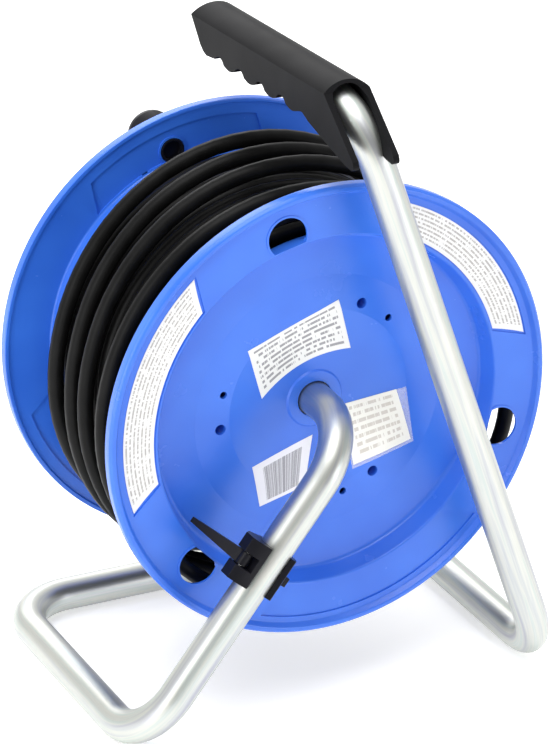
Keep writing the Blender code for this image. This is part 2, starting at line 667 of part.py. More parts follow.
def build_socket(index, angle):
    seat = socket_seat(angle)
    wall_r = 22.0 * MM
    top = COLLAR_OUT - 0.5 * MM
    floor = top - RECESS_DEPTH
    under = floor - 3.0 * MM
    profile = [(0.0, floor), (RECESS_R, floor), (RECESS_R, top), (wall_r, top), (wall_r, under), (0.0, under)]
    insert = turned(f"socket_insert_{index}", profile, BLACK, seat, DRUM_PARENT, 24)
    arm_out = 17.6 * MM
    arm_half = 0.45 * MM
    strip_half = 2.4 * MM
    for side in (-1, 1):
        pin = seat @ Matrix.Translation((side * PIN_SPACING / 2, 0.0, 0.0))
        cut(insert, disc(f"insert_{index}_pin_{side}", 2.6 * MM, under - 2 * MM, floor + 2 * MM, None, pin,
                         DRUM_PARENT, 12))
        near, far = sorted((side * (arm_out - 1.0 * MM), side * (arm_out + 1.0 * MM)))
        cut(insert, block(f"insert_{index}_slot_{side}", (-strip_half - GAP, near, under - 2 * MM),
                          (strip_half + GAP, far, floor + 2 * MM), None, seat, DRUM_PARENT))
    arm_top = top - 4.0 * MM
    base = under - 0.5 * MM
    outer, inner = arm_out + arm_half, arm_out - arm_half
    bow = 2.0 * MM
    outline = [(-outer, base - 2 * arm_half), (outer, base - 2 * arm_half), (outer, arm_top - 4 * MM),
               (outer - bow, arm_top - 1.5 * MM), (outer, arm_top), (inner, arm_top + 0.4 * MM),
               (inner - bow, arm_top - 1.5 * MM), (inner, arm_top - 4 * MM), (inner, base), (-inner, base),
               (-inner, arm_top - 4 * MM), (-inner + bow, arm_top - 1.5 * MM), (-inner, arm_top + 0.4 * MM),
               (-outer, arm_top), (-outer + bow, arm_top - 1.5 * MM), (-outer, arm_top - 4 * MM)]
    upright = seat @ axes((0, 1, 0), (0, 0, 1), (1, 0, 0), (0, 0, 0))
    plate(f"earth_clip_{index}", outline, -strip_half, strip_half, ZINC, upright, DRUM_PARENT)


def build_lid(index, angle):
    hinge = hinge_seat(angle)
    seat = socket_seat(angle)
    parent = new_parent(f"lid_{index}_body", hinge, DRUM_PARENT)
    low = COLLAR_OUT + 0.4 * MM
    crown = low + 2.4 * MM
    lid_r = COLLAR_R + 0.6 * MM
    profile = [(0.0, crown + 1.0 * MM), (lid_r * 0.7, crown + 0.6 * MM), (lid_r - 1.2 * MM, crown),
               (lid_r, crown - 1.4 * MM), (lid_r, low), (0.0, low)]
    lid = turned(f"socket_lid_{index}", profile, BLACK, seat, parent, 24)
    tongue = block(f"lid_{index}_tongue", (-lid_r - 4.0 * MM, -7.0 * MM, low), (-lid_r + 3.0 * MM, 7.0 * MM, crown),
                   None, seat, parent)
    arm = block(f"lid_{index}_arm", (lid_r - 4.0 * MM, BARREL_LOW, low), (LID_HINGE, BARREL_HIGH, crown), None,
                seat, parent)
    barrel = disc(f"lid_{index}_barrel", 2.7 * MM, BARREL_LOW, BARREL_HIGH, None, hinge, parent, 14)
    join(lid, tongue, arm, barrel)
    cut(lid, disc(f"lid_{index}_bore", LID_PIN_R + 0.3 * MM, -14 * MM, 14 * MM, None, hinge, parent, 10))
    disc(f"lid_pin_{index}", LID_PIN_R, -EAR_OUTER - 0.4 * MM, EAR_OUTER + 0.4 * MM, ZINC, hinge, DRUM_PARENT, 10)
    spring_length = 5.2 * MM
    start = hinge @ Matrix.Translation((0.0, 0.0, BARREL_HIGH + 0.6 * MM))
    points = [start @ point for point in coil(1.95 * MM, spring_length, 3)]
    rod(f"lid_spring_{index}", points, 0.28 * MM, ZINC, DRUM_PARENT, resolution=0)


def contact_bar(name, inner, outer, out):
    """Flat bar that links one pole of all sockets: an open ring with its gap at the terminal block."""
    start, end = 76.0, 344.0
    outline = arc((0.0, 0.0), outer, start, end, 24) + arc((0.0, 0.0), inner, end, start, 24)
    plate(name, outline, out - 1.0 * MM, out, BRASS, FRONT, DRUM_PARENT)


def build_cutout():
    top = PANEL_OUT + 2.5 * MM
    body_r = 10.6 * MM
    bore_r = 5.4 * MM
    low = PANEL_OUT - 20.0 * MM
    button_low = PANEL_OUT - 5.0 * MM
    well_low = PANEL_OUT - 11.0 * MM
    profile = [(0.0, well_low), (bore_r, well_low), (bore_r, top), (13.0 * MM, top), (13.0 * MM, PANEL_OUT + GAP),
               (body_r, PANEL_OUT + GAP), (body_r, low), (0.0, low)]
    turned("thermal_cutout", profile, BLACK, FRONT, DRUM_PARENT, 24)
    button_parent = new_parent("reset_button_body", FRONT, DRUM_PARENT)
    button_r = bore_r - 0.3 * MM
    profile = [(0.0, top + 3.0 * MM), (button_r * 0.7, top + 2.8 * MM), (button_r, top + 1.8 * MM),
               (button_r, button_low), (0.0, button_low)]
    turned("reset_button", profile, RED, FRONT, button_parent, 20)
    start = FRONT @ Matrix.Translation((0.0, 0.0, well_low + 0.7 * MM))
    height = button_low - well_low - 3.2 * MM
    points = [start @ point for point in coil(3.2 * MM, height, 3)]
    rod("button_spring", points, 0.35 * MM, ZINC, DRUM_PARENT, resolution=0)


# ---- wiring inside the drum --------------------------------------------------------------------------------
CLAMP_ANGLE = 58.0
CLAMP_CIRCLE = 67.5 * MM
LEAD_OUT = -40.0 * MM
LEAD_END_ANGLE = 48.5
BLOCK_ANGLE = 18.0
BLOCK_CIRCLE = 58.0 * MM
BLOCK_HALF = 14.0 * MM
BLOCK_LOW = PANEL_OUT - PANEL_THICK - 13.3 * MM


def build_lead():
    gland = gland_frame()
    sleeve = ring("cable_gland", CABLE_R + 0.3 * MM, 7.3 * MM, -13.0 * MM, 24.0 * MM, RUBBER, gland, DRUM_PARENT)
    keep = disc("gland_flush", CORE_R + 0.1 * MM, -100 * MM, 0.0, None, BACK, DRUM_PARENT, STEPS_LARGE)
    combine(sleeve, keep, "INTERSECT")
    knots = [gland @ Vector((0.0, 0.0, z * MM)) for z in (-9.0, -14.0, -20.0)]
    for angle, radius, out in [(250.0, 74.0, -106.0), (215.0, 75.0, -92.0), (180.0, 75.5, -74.0),
                               (150.0, 74.5, -57.0), (115.0, 72.0, -45.0), (80.0, 68.5, -40.5)]:
        knots.append(on_drum(radius * MM, angle, FRONT_Y - out * MM))
    end_y = FRONT_Y - LEAD_OUT
    knots.append(on_drum(CLAMP_CIRCLE, CLAMP_ANGLE + 5.0, end_y))
    knots.append(on_drum(CLAMP_CIRCLE, CLAMP_ANGLE - 4.0, end_y))
    knots.append(on_drum(CLAMP_CIRCLE, LEAD_END_ANGLE, end_y))
    rod("inner_lead", smooth_path(knots, 3), CABLE_R, RUBBER, DRUM_PARENT, resolution=2)


def build_strain_relief():
    seat = turn_axis(-1, CLAMP_ANGLE, CLAMP_CIRCLE, FRONT_Y)
    lead = seat @ axes((1, 0, 0), (0, 0, -1), (0, 1, 0), (0.0, 0.0, LEAD_OUT))
    half = 10.5 * MM
    depth = 5.0 * MM
    top = PANEL_OUT - PANEL_THICK - GAP
    base = block("clamp_base", (-half, -depth, LEAD_OUT + 0.2 * MM), (half, depth, top), BLACK, seat, DRUM_PARENT)
    saddle = block("clamp_saddle", (-half, -depth, LEAD_OUT - 7.5 * MM), (half, depth, LEAD_OUT - 0.2 * MM), NYLON,
                   seat, DRUM_PARENT)
    for name, part in (("base", base), ("saddle", saddle)):
        cut(part, disc(f"clamp_{name}_groove", CABLE_R + 0.4 * MM, -20 * MM, 20 * MM, None, lead, DRUM_PARENT))
    for index, side in enumerate((-1, 1), 1):
        across = seat @ Matrix.Translation((side * 7.9 * MM, 0.0, 0.0))
        down = across @ Matrix.Rotation(math.pi, 4, "X")
        for name, part in (("base", base), ("saddle", saddle)):
            cut(part, disc(f"clamp_{name}_tap_{index}", 1.6 * MM, LEAD_OUT - 10 * MM, LEAD_OUT + 14 * MM, None,
                           across, DRUM_PARENT, 8))
        small_screw(f"clamp_screw_{index}", down, DRUM_PARENT, -LEAD_OUT + 7.8 * MM, 2.5 * MM, 1.3 * MM, 15.0 * MM)


def build_terminal():
    seat = turn_axis(-1, BLOCK_ANGLE, BLOCK_CIRCLE, FRONT_Y)
    low = (-7.0 * MM, -BLOCK_HALF, BLOCK_LOW)
    high = (7.0 * MM, BLOCK_HALF, PANEL_OUT - PANEL_THICK - GAP)
    body = block("terminal_block", low, high, NYLON, seat, DRUM_PARENT, bevel=0.8 * MM)
    for index, along in enumerate((-9.0, 0.0, 9.0)):
        across = seat @ Matrix.Translation((0.0, along * MM, 0.0))
        cut(body, disc(f"terminal_well_{index}", 2.0 * MM, BLOCK_LOW - MM, BLOCK_LOW + 6 * MM, None, across,
                       DRUM_PARENT, 8))


def build_wires():
    seat = turn_axis(-1, BLOCK_ANGLE, BLOCK_CIRCLE, FRONT_Y)
    wires = [("wire_live", BROWN, -3.2, -4.5), ("wire_neutral", WIRE_BLUE, 0.0, 0.0), ("wire_earth", GREEN, 3.2, 4.5)]
    for name, material, spread, landing in wires:
        knots = []
        for angle in (LEAD_END_ANGLE - 0.5, LEAD_END_ANGLE - 4.0):
            knots.append(on_drum(CLAMP_CIRCLE, angle, FRONT_Y - LEAD_OUT - spread * MM))
        for along, out in [(20.0, -31.0), (16.5, -25.5), (14.4, -25.0)]:
            knots.append(seat @ (Vector((landing, along, out)) * MM))
        rod(name, smooth_path(knots, 3), 1.2 * MM, material, DRUM_PARENT, resolution=1)


# ---- crank knob -----------------------------------------------------------------------------------------
def build_crank():
    seat = turn_axis(-1, CRANK_ANGLE, CRANK_CENTRE, FRONT_Y)
    skin = -3.5 * MM
    spigot_r = CRANK_HOLE_R - 0.35 * MM
    spindle_r = 5.5 * MM
    spindle_top = 24.0 * MM
    profile = [(0.0, spindle_top), (spindle_r, spindle_top), (spindle_r, -1.0 * MM), (13.6 * MM, -1.0 * MM),
               (13.6 * MM, skin + GAP), (0.0, skin + GAP)]
    axle = turned("knob_axle", profile, BLACK, seat, DRUM_PARENT, 20)
    spigot = disc("knob_spigot", spigot_r, -6.4 * MM, skin + 1.0 * MM, None, seat, DRUM_PARENT)
    recess = disc("knob_recess", 6.4 * MM, -9.0 * MM, -2.6 * MM, None, seat, DRUM_PARENT)
    tap = disc("knob_tap", 1.75 * MM, 10.0 * MM, 26.0 * MM, None, seat, DRUM_PARENT, 8)
    join(axle, spigot)
    cut(axle, recess, tap)
    knob_parent = new_parent("crank_knob_body", seat, DRUM_PARENT)
    profile = [(5.9, -0.6), (12.6, -0.6), (13.4, 2.0), (12.6, 8.0), (12.8, 14.0), (14.4, 21.0), (15.3, 26.0),
               (14.8, 29.2), (12.8, 30.7), (7.4, 30.7), (7.4, 23.6), (5.9, 23.6)]
    turned("crank_knob", [(r * MM, out * MM) for r, out in profile], BLACK, seat, knob_parent, 20)
    small_screw("knob_screw", seat, DRUM_PARENT, spindle_top + GAP, 6.8 * MM, 1.45 * MM, 11.0 * MM)


# ---- cable and plug ---------------------------------------------------------------------------------------
def build_winding():
    """The wound cable's outer shape: a barrel round the core, lower beside the flanges."""
    inner = CORE_R + 0.75 * MM
    profile = [(113.0, -22.2), (116.0, -25.0), (116.0, -49.0), (124.0, -60.0), (129.0, -78.0), (129.0, -104.0),
               (124.0, -122.0), (117.0, -139.0), (113.0, -142.8)]
    profile = [(inner, -22.2 * MM)] + [(r * MM, out * MM) for r, out in profile] + [(inner, -142.8 * MM)]
    turned("cable_winding", profile, RUBBER, BACK, DRUM_PARENT, 32)


def plug_frame():
    """Frame of the plug beside the back flange: local Z runs along the winding, towards the pins."""
    turn = math.radians(PLUG_ANGLE)
    radial = Vector((math.cos(turn), 0.0, math.sin(turn)))
    tangent = Vector((-math.sin(turn), 0.0, math.cos(turn)))
    return axes(radial, tangent.cross(radial), tangent, on_drum(PLUG_AXIS_R, PLUG_ANGLE, BACK_Y + PLUG_OUT))


PLUG_FACE = 46.0 * MM
PLUG_LENGTH = 44.0 * MM
SLEEVE_LENGTH = 32.0 * MM


def build_plug():
    seat = plug_frame()
    rear = PLUG_FACE - PLUG_LENGTH
    profile = [(0.0, PLUG_FACE), (PLUG_R - 0.8 * MM, PLUG_FACE), (PLUG_R, PLUG_FACE - 0.8 * MM),
               (PLUG_R, PLUG_FACE - 16 * MM), (PLUG_R - 1.5 * MM, PLUG_FACE - 20 * MM), (13.0 * MM, PLUG_FACE - 30 * MM),
               (10.0 * MM, rear), (0.0, rear)]
    body = turned("plug_body", profile, RUBBER, seat, DRUM_PARENT, 24)
    profile = [(0.0, rear - GAP), (9.0 * MM, rear - GAP), (6.6 * MM, rear - SLEEVE_LENGTH),
               (0.0, rear - SLEEVE_LENGTH)]
    turned("plug_sleeve", profile, RUBBER, seat, DRUM_PARENT, 16)
    for index, side in enumerate((-1, 1), 1):
        pin_seat = seat @ Matrix.Translation((0.0, side * PIN_SPACING / 2, 0.0))
        cut(body, disc(f"plug_pin_hole_{index}", 2.7 * MM, PLUG_FACE - 9 * MM, PLUG_FACE + MM, None, pin_seat,
                       DRUM_PARENT, 12))
        profile = [(0.0, PLUG_FACE + 19.0 * MM), (1.6 * MM, PLUG_FACE + 18.6 * MM), (2.4 * MM, PLUG_FACE + 17.0 * MM),
                   (2.4 * MM, PLUG_FACE - 8.5 * MM), (0.0, PLUG_FACE - 8.5 * MM)]
        turned(f"plug_pin_{index}", profile, ZINC, pin_seat, DRUM_PARENT, 12)


def build_tail():
    seat = plug_frame()
    end = PLUG_FACE - PLUG_LENGTH - SLEEVE_LENGTH - GAP
    y = BACK_Y + PLUG_OUT
    knots = [on_drum(radius * MM, angle, y) for angle, radius in TAIL]
    knots += [seat @ Vector((0.0, 0.0, end - before * MM)) for before in (12.0, 6.0, 0.0)]
    rod("cable_tail", smooth_path(knots, 3), CABLE_R, RUBBER, DRUM_PARENT)


def build_reel():
    build_frame_tube()
    build_grip()
    build_axle_parts()
    build_drum_stop()
    build_back_flange()
    build_front_flange()
    build_core()
    build_bearings()
    build_screws()
    build_panel()
    for index, angle in enumerate(SOCKET_ANGLES, 1):
        build_socket(index, angle)
        build_lid(index, angle)
    contact_bar("contact_bar_inner", 31.6 * MM, 37.4 * MM, -28.5 * MM)
    contact_bar("contact_bar_outer", 50.6 * MM, 56.4 * MM, -28.5 * MM)
    build_cutout()
    build_lead()
    build_strain_relief()
    build_terminal()
    build_wires()
    build_crank()
    build_winding()
    build_plug()
    build_tail()


build_reel()
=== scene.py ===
"""Looks of the extension cord reel: fine meshes, materials, the 25 m cable on the drum, light and camera.

Lengths are in metres. On the drum, "out" is counted from a flange's rim plane, positive away from the drum,
and angles run about the axle from +X towards +Z.
"""
import json
import math

import bmesh
import bpy
from mathutils import Matrix, Vector


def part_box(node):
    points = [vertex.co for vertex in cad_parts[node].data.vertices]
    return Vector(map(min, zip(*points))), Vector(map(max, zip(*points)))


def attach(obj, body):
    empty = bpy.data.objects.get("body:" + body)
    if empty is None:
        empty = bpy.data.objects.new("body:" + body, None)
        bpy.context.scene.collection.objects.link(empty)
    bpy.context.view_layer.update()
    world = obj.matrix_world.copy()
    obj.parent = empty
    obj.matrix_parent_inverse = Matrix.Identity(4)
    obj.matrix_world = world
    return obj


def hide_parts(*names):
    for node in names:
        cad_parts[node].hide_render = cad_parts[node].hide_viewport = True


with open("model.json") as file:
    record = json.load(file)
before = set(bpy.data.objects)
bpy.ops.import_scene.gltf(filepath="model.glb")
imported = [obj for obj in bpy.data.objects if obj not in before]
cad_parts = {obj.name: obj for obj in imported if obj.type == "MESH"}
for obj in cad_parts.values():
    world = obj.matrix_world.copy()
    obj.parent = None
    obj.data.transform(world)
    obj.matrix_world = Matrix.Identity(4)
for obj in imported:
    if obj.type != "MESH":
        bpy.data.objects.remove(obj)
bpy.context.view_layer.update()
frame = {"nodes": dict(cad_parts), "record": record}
MM = 0.001

# ---- dimensions read from the frame ----
BACK_LOW, BACK_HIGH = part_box("back_flange")
FRONT_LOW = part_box("front_flange")[0]
TUBE_LOW, TUBE_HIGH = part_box("frame_tube")
CORE_LOW, CORE_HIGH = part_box("drum_core")
HUB_Z = (BACK_LOW.z + BACK_HIGH.z) / 2
BACK_Y = BACK_HIGH.y
FRONT_Y = FRONT_LOW.y
CORE_R = (CORE_HIGH.x - CORE_LOW.x) / 2

# ---- dimensions of the design ----
HOLE_ANGLES = [75.5, 195.5, 315.5]
LABEL_ANGLES = [14.9, 134.9, 254.9]
HOLE_CENTRE = 120.5 * MM
CRANK_ANGLE = 74.8
CRANK_CENTRE = 120.4 * MM
CRANK_HOLE_R = 8.0 * MM
HOLE_R = 12.5 * MM
HOLE_FLAT = 113.1 * MM
SCREW_CIRCLE = 65.5 * MM
SCREW_ANGLES = [-5.3, 114.7, 234.7]
VENT_ANGLES = [14.3, 134.3, 254.3]
SOCKET_CIRCLE = 44.0 * MM
SOCKET_ANGLES = [90.0, 210.0, 330.0]
PANEL_SCREW_CIRCLE = 72.0 * MM
PANEL_SCREW_ANGLES = [30.0, 150.0, 270.0]
PIN_OFFSET = 9.5 * MM
CABLE_R = 5.0 * MM
TUBE_R = 10.5 * MM
TUBE_WALL = 1.5 * MM
BEND_R = 38.0 * MM


def drum_frame(direction, angle=0.0, radius=0.0, y=0.0):
    """Frame on the drum: local X points away from the axle, local Z is +Y or -Y, as the direction's sign."""
    radial = Vector((math.cos(math.radians(angle)), 0.0, math.sin(math.radians(angle))))
    outward = Vector((0.0, direction, 0.0))
    matrix = Matrix((radial, outward.cross(radial), outward)).transposed().to_4x4()
    matrix.translation = Vector((0.0, y, HUB_Z)) + radial * radius
    return matrix


def axes(x, y, z, origin):
    matrix = Matrix((Vector(x), Vector(y), Vector(z))).transposed().to_4x4()
    matrix.translation = Vector(origin)
    return matrix


def on_drum(radius, angle, y):
    turn = math.radians(angle)
    return Vector((radius * math.cos(turn), y, HUB_Z + radius * math.sin(turn)))


BACK = drum_frame(1, y=BACK_Y)
FRONT = drum_frame(-1, y=FRONT_Y)


# ---- node helpers ----
def set_inputs(node, **values):
    """Sets unlinked inputs of a node; an underscore in a keyword is a space in the input's name."""
    for name, value in values.items():
        node.inputs[name.replace("_", " ")].default_value = value


class Finish:
    """A Principled material with short calls for its nodes."""

    def __init__(self, name, color, roughness, metallic=0.0):
        self.material = bpy.data.materials.new(name)
        self.material.use_nodes = True
        self.nodes = self.material.node_tree.nodes
        self.links = self.material.node_tree.links
        self.shader = self.nodes["Principled BSDF"]
        set_inputs(self.shader, Base_Color=(*color, 1.0), Roughness=roughness, Metallic=metallic)

    def node(self, kind, **settings):
        made = self.nodes.new(kind)
        for name, value in settings.items():
            setattr(made, name, value)
        return made

    def link(self, source, target):
        self.links.new(source, target)

    def place(self):
        return self.node("ShaderNodeTexCoord").outputs["Object"]

    def stored(self, name):
        return self.node("ShaderNodeAttribute", attribute_name=name).outputs["Vector"]

    def noise(self, vector, scale, detail=3.0, roughness=0.55, distortion=0.0):
        made = self.node("ShaderNodeTexNoise")
        self.link(vector, made.inputs["Vector"])
        set_inputs(made, Scale=scale, Detail=detail, Roughness=roughness, Distortion=distortion)
        return made.outputs["Fac"]

    def stretch(self, vector, scale):
        made = self.node("ShaderNodeMapping")
        self.link(vector, made.inputs["Vector"])
        made.inputs["Scale"].default_value = scale
        return made.outputs["Vector"]

    def ramp(self, value, stops):
        made = self.node("ShaderNodeValToRGB")
        self.link(value, made.inputs["Fac"])
        while len(made.color_ramp.elements) < len(stops):
            made.color_ramp.elements.new(0.5)
        for element, (position, color) in zip(made.color_ramp.elements, stops):
            element.position = position
            element.color = (*color, 1.0)
        return made.outputs["Color"]

    def remap(self, value, low, high, source_low=0.0, source_high=1.0):
        made = self.node("ShaderNodeMapRange")
        self.link(value, made.inputs["Value"])
        set_inputs(made, From_Min=source_low, From_Max=source_high, To_Min=low, To_Max=high)
        return made.outputs["Result"]

    def math(self, operation, a, b=0.5):
        made = self.node("ShaderNodeMath", operation=operation)
        for socket, value in zip(made.inputs, (a, b)):
            if isinstance(value, float):
                socket.default_value = value
            else:
                self.link(value, socket)
        return made.outputs["Value"]

    def bump(self, height, strength, distance):
        made = self.node("ShaderNodeBump")
        set_inputs(made, Strength=strength, Distance=distance)
        self.link(height, made.inputs["Height"])
        self.link(made.outputs["Normal"], self.shader.inputs["Normal"])

    def color_from(self, output):
        self.link(output, self.shader.inputs["Base Color"])

    def roughness_from(self, output):
        self.link(output, self.shader.inputs["Roughness"])


def moulded(name, dark, light, roughness, grain=0.12, grain_size=2600.0, specular=0.5):
    """Moulded plastic: faint cloudy colour, uneven gloss and a fine grain."""
    made = Finish(name, light, roughness)
    where = made.place()
    cloud = made.noise(where, 14.0, 2.0)
    made.color_from(made.ramp(cloud, [(0.3, dark), (0.7, light)]))
    made.roughness_from(made.remap(made.noise(where, 45.0, 4.0), roughness - 0.05, roughness + 0.06))
    made.bump(made.noise(where, grain_size, 2.0), grain, 0.00006)
    set_inputs(made.shader, Specular_IOR_Level=specular)
    return made.material


def galvanised(name):
    """Bright galvanised tube: streaks along its length in faint yellow, green and violet."""
    made = Finish(name, (0.52, 0.54, 0.52), 0.4, 1.0)
    along = made.stored("run")
    streaks = made.noise(made.stretch(along, (1.0, 1.0, 0.03)), 2.6, 4.0, 0.55, 0.2)
    made.color_from(made.ramp(streaks, [(0.30, (0.42, 0.42, 0.46)), (0.42, (0.50, 0.52, 0.51)),
                                        (0.52, (0.58, 0.585, 0.54)), (0.62, (0.50, 0.55, 0.52)),
                                        (0.74, (0.61, 0.61, 0.60))]))
    fine = made.noise(made.stretch(along, (1.0, 1.0, 0.02)), 9.0, 4.0)
    made.roughness_from(made.remap(fine, 0.34, 0.48))
    made.bump(fine, 0.05, 0.0002)
    return made.material


def bright_metal(name, color, roughness):
    """Plated or rolled metal with fine scratches."""
    made = Finish(name, color, roughness, 1.0)
    where = made.place()
    scratch = made.noise(made.stretch(where, (1.0, 14.0, 1.0)), 240.0, 3.0)
    made.roughness_from(made.remap(scratch, roughness - 0.08, roughness + 0.12))
    made.bump(scratch, 0.06, 0.00005)
    return made.material


def rubber(name, color=(0.004, 0.004, 0.004), roughness=0.40):
    """Cable rubber: near black, with a soft sheen and a dusty, slightly uneven skin."""
    made = Finish(name, color, roughness)
    where = made.place()
    dust = made.noise(where, 60.0, 4.0)
    made.color_from(made.ramp(dust, [(0.35, color), (0.8, tuple(c * 2.1 for c in color))]))
    made.roughness_from(made.remap(made.noise(where, 130.0, 3.0), roughness - 0.07, roughness + 0.10))
    made.bump(made.noise(where, 900.0, 3.0), 0.25, 0.00012)
    set_inputs(made.shader, Specular_IOR_Level=0.11)
    return made.material


def printed(name, rows, words, ink, margin=0.06, band=0.55, paper=(0.82, 0.82, 0.80)):
    """Paper sticker with rows of broken grey dashes in place of any text. UV runs 0..1 over the sticker."""
    made = Finish(name, paper, 0.45)
    split = made.node("ShaderNodeSeparateXYZ")
    made.link(made.stored("page"), split.inputs["Vector"])
    across, up = split.outputs["X"], split.outputs["Y"]
    row = made.math("MULTIPLY", up, float(rows))
    in_row = made.math("LESS_THAN", made.math("FRACT", row, 0.0), band)
    cell = made.node("ShaderNodeCombineXYZ")
    made.link(made.math("MULTIPLY", across, float(words)), cell.inputs["X"])
    made.link(made.math("MULTIPLY", made.math("FLOOR", row, 0.0), 7.31), cell.inputs["Y"])
    word = made.math("GREATER_THAN", made.noise(cell.outputs["Vector"], 1.0, 3.0, 0.75), 0.47)
    mask = made.math("MULTIPLY", in_row, word)
    for position, low, high in ((across, margin, 1.0 - margin), (up, 0.08, 0.93)):
        mask = made.math("MULTIPLY", mask, made.math("GREATER_THAN", position, low))
        mask = made.math("MULTIPLY", mask, made.math("LESS_THAN", position, high))
    made.color_from(made.ramp(mask, [(0.0, paper), (1.0, ink)]))
    made.bump(made.noise(made.place(), 700.0, 2.0), 0.05, 0.0001)
    return made.material


def clear_film(name):
    """Thin clear film over a label."""
    made = Finish(name, (0.80, 0.84, 1.0), 0.12)
    set_inputs(made.shader, Alpha=0.28)
    made.roughness_from(made.remap(made.noise(made.place(), 90.0), 0.08, 0.2))
    return made.material


BLUE = moulded("blue_plastic_fine", (0.028, 0.134, 0.66), (0.042, 0.180, 0.77), 0.25, 0.06)
GRIP_BLACK = moulded("grip_plastic", (0.005, 0.005, 0.006), (0.008, 0.008, 0.009), 0.48, 0.40, 1500.0, 0.07)
BLACK = moulded("black_plastic_fine", (0.004, 0.004, 0.006), (0.008, 0.008, 0.012), 0.34, 0.12, 2600.0, 0.16)
PANEL_BLACK = moulded("panel_plastic", (0.018, 0.018, 0.020), (0.030, 0.030, 0.032), 0.46, 0.4, 1700.0)
NYLON = moulded("nylon", (0.66, 0.66, 0.60), (0.78, 0.78, 0.73), 0.42)
RED = moulded("button_red_fine", (0.50, 0.03, 0.02), (0.66, 0.05, 0.03), 0.35)
WIRE_BROWN = moulded("wire_brown_fine", (0.16, 0.06, 0.02), (0.22, 0.09, 0.03), 0.4)
WIRE_BLUE = moulded("wire_blue_fine", (0.04, 0.16, 0.52), (0.06, 0.22, 0.66), 0.4)
WIRE_GREEN = moulded("wire_green_fine", (0.20, 0.38, 0.04), (0.50, 0.52, 0.05), 0.4)
STEEL = galvanised("galvanised_fine")
ZINC = bright_metal("zinc_fine", (0.72, 0.72, 0.70), 0.28)
BRASS = bright_metal("brass_fine", (0.80, 0.62, 0.30), 0.25)
RUBBER = rubber("cable_rubber")
PLUG_RUBBER = rubber("plug_rubber", (0.018, 0.018, 0.018), 0.5)
FILM = clear_film("label_film")

SLOT_FINISH = {
    "blue_plastic": BLUE, "black_plastic": BLACK, "galvanised_steel": STEEL, "black_rubber": RUBBER,
    "contact_brass": BRASS, "zinc_steel": ZINC, "button_red": RED, "white_nylon": NYLON,
    "wire_brown": WIRE_BROWN, "wire_blue": WIRE_BLUE, "wire_green": WIRE_GREEN,
}


# ---- mesh helpers ----
def smooth(mesh, angle=32.0):
    """Smooth shading with edges sharper than the angle kept sharp."""
    for polygon in mesh.polygons:
        polygon.use_smooth = True
    mesh.set_sharp_from_angle(angle=math.radians(angle))


def mesh_from(name, bm):
    mesh = bpy.data.meshes.new(name)
    bm.to_mesh(mesh)
    bm.free()
    return mesh


def store(mesh, name, vectors):
    """Stores one vector per vertex as a mesh attribute for the materials."""
    attribute = mesh.attributes.new(name, "FLOAT_VECTOR", "POINT")
    for item, vector in zip(attribute.data, vectors):
        item.vector = vector


def new_object(name, mesh, material, matrix=None):
    obj = bpy.data.objects.new(name, mesh)
    bpy.context.scene.collection.objects.link(obj)
    mesh.materials.clear()
    mesh.materials.append(material)
    if matrix:
        mesh.transform(matrix)
    return obj


def add_piece(obj, body, slot, *nodes, angle=32.0):
    """Finishes a piece: shading, the body it rides on and the nodes it stands for. The slot argument is not
    used.
    """
    if obj.type == "MESH":
        smooth(obj.data, angle)
    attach(obj, body)
    if nodes:
        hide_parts(*nodes)
    return obj


def soften(obj, width, segments=2, angle=35.0):
    """Rounds the edges sharper than an angle."""
    modifier = obj.modifiers.new("soft_edges", "BEVEL")
    modifier.width = width
    modifier.segments = segments
    modifier.limit_method = "ANGLE"
    modifier.angle_limit = math.radians(angle)
    modifier.harden_normals = True
    return obj


def mm(*lengths):
    return tuple(length * MM for length in lengths)


def scaled(corners):
    """Corners given in millimetres, as metres."""
    return [mm(*corner) for corner in corners]


def arc(centre, radius, start, end, steps):
    """Points on an arc from start to end, in degrees."""
    points = []
    for step in range(steps + 1):
        angle = math.radians(start + (end - start) * step / steps)
        points.append((centre[0] + radius * math.cos(angle), centre[1] + radius * math.sin(angle)))
    return points


def filleted(corners, steps=5):
    """Closed outline from (x, y, fillet) corners, each rounded to its own fillet radius."""
    points = []
    count = len(corners)
    for index, (x, y, radius) in enumerate(corners):
        corner = Vector((x, y))
        back = Vector(corners[index - 1][:2]) - corner
        ahead = Vector(corners[(index + 1) % count][:2]) - corner
        half = back.angle(ahead) / 2
        reach = radius / math.tan(half)
        limit = 0.49 * min(back.length, ahead.length)
        if radius == 0.0 or half > math.radians(88.5):
            points.append((x, y))
            continue
        if reach > limit:
            radius *= limit / reach
            reach = limit
        centre = corner + (back.normalized() + ahead.normalized()).normalized() * radius / math.sin(half)
        first = corner + back.normalized() * reach - centre
        last = corner + ahead.normalized() * reach - centre
        for step in range(steps + 1):
            spoke = first.normalized().slerp(last.normalized(), step / steps)
            points.append(tuple(centre + spoke * radius))
    return points


def lathe(name, profile, material, matrix, steps=144):
    """Solid of revolution about local Z from (radius, height) points. Points on the axis become poles."""
    bm = bmesh.new()
    rings = []
    for radius, height in profile:
        if radius < 1e-7:
            rings.append([bm.verts.new((0.0, 0.0, height))])
            continue
        turn = math.tau / steps
        rings.append([bm.verts.new((radius * math.cos(k * turn), radius * math.sin(k * turn), height))
                      for k in range(steps)])
    closing = rings[:1] if len(rings[0]) > 1 else []
    for low, high in zip(rings, rings[1:] + closing):
        for k in range(steps):
            after = (k + 1) % steps
            corners = [low[k % len(low)], low[after % len(low)], high[after % len(high)], high[k % len(high)]]
            unique = list(dict.fromkeys(corners))
            if len(unique) > 2:
                bm.faces.new(unique)
    bmesh.ops.recalc_face_normals(bm, faces=bm.faces)
    return new_object(name, mesh_from(name, bm), material, matrix)


def disc(name, radius, low, high, matrix, steps=48, material=None):
    profile = [(0.0, high), (radius, high), (radius, low), (0.0, low)]
    return lathe(name, profile, material or BLACK, matrix, steps)


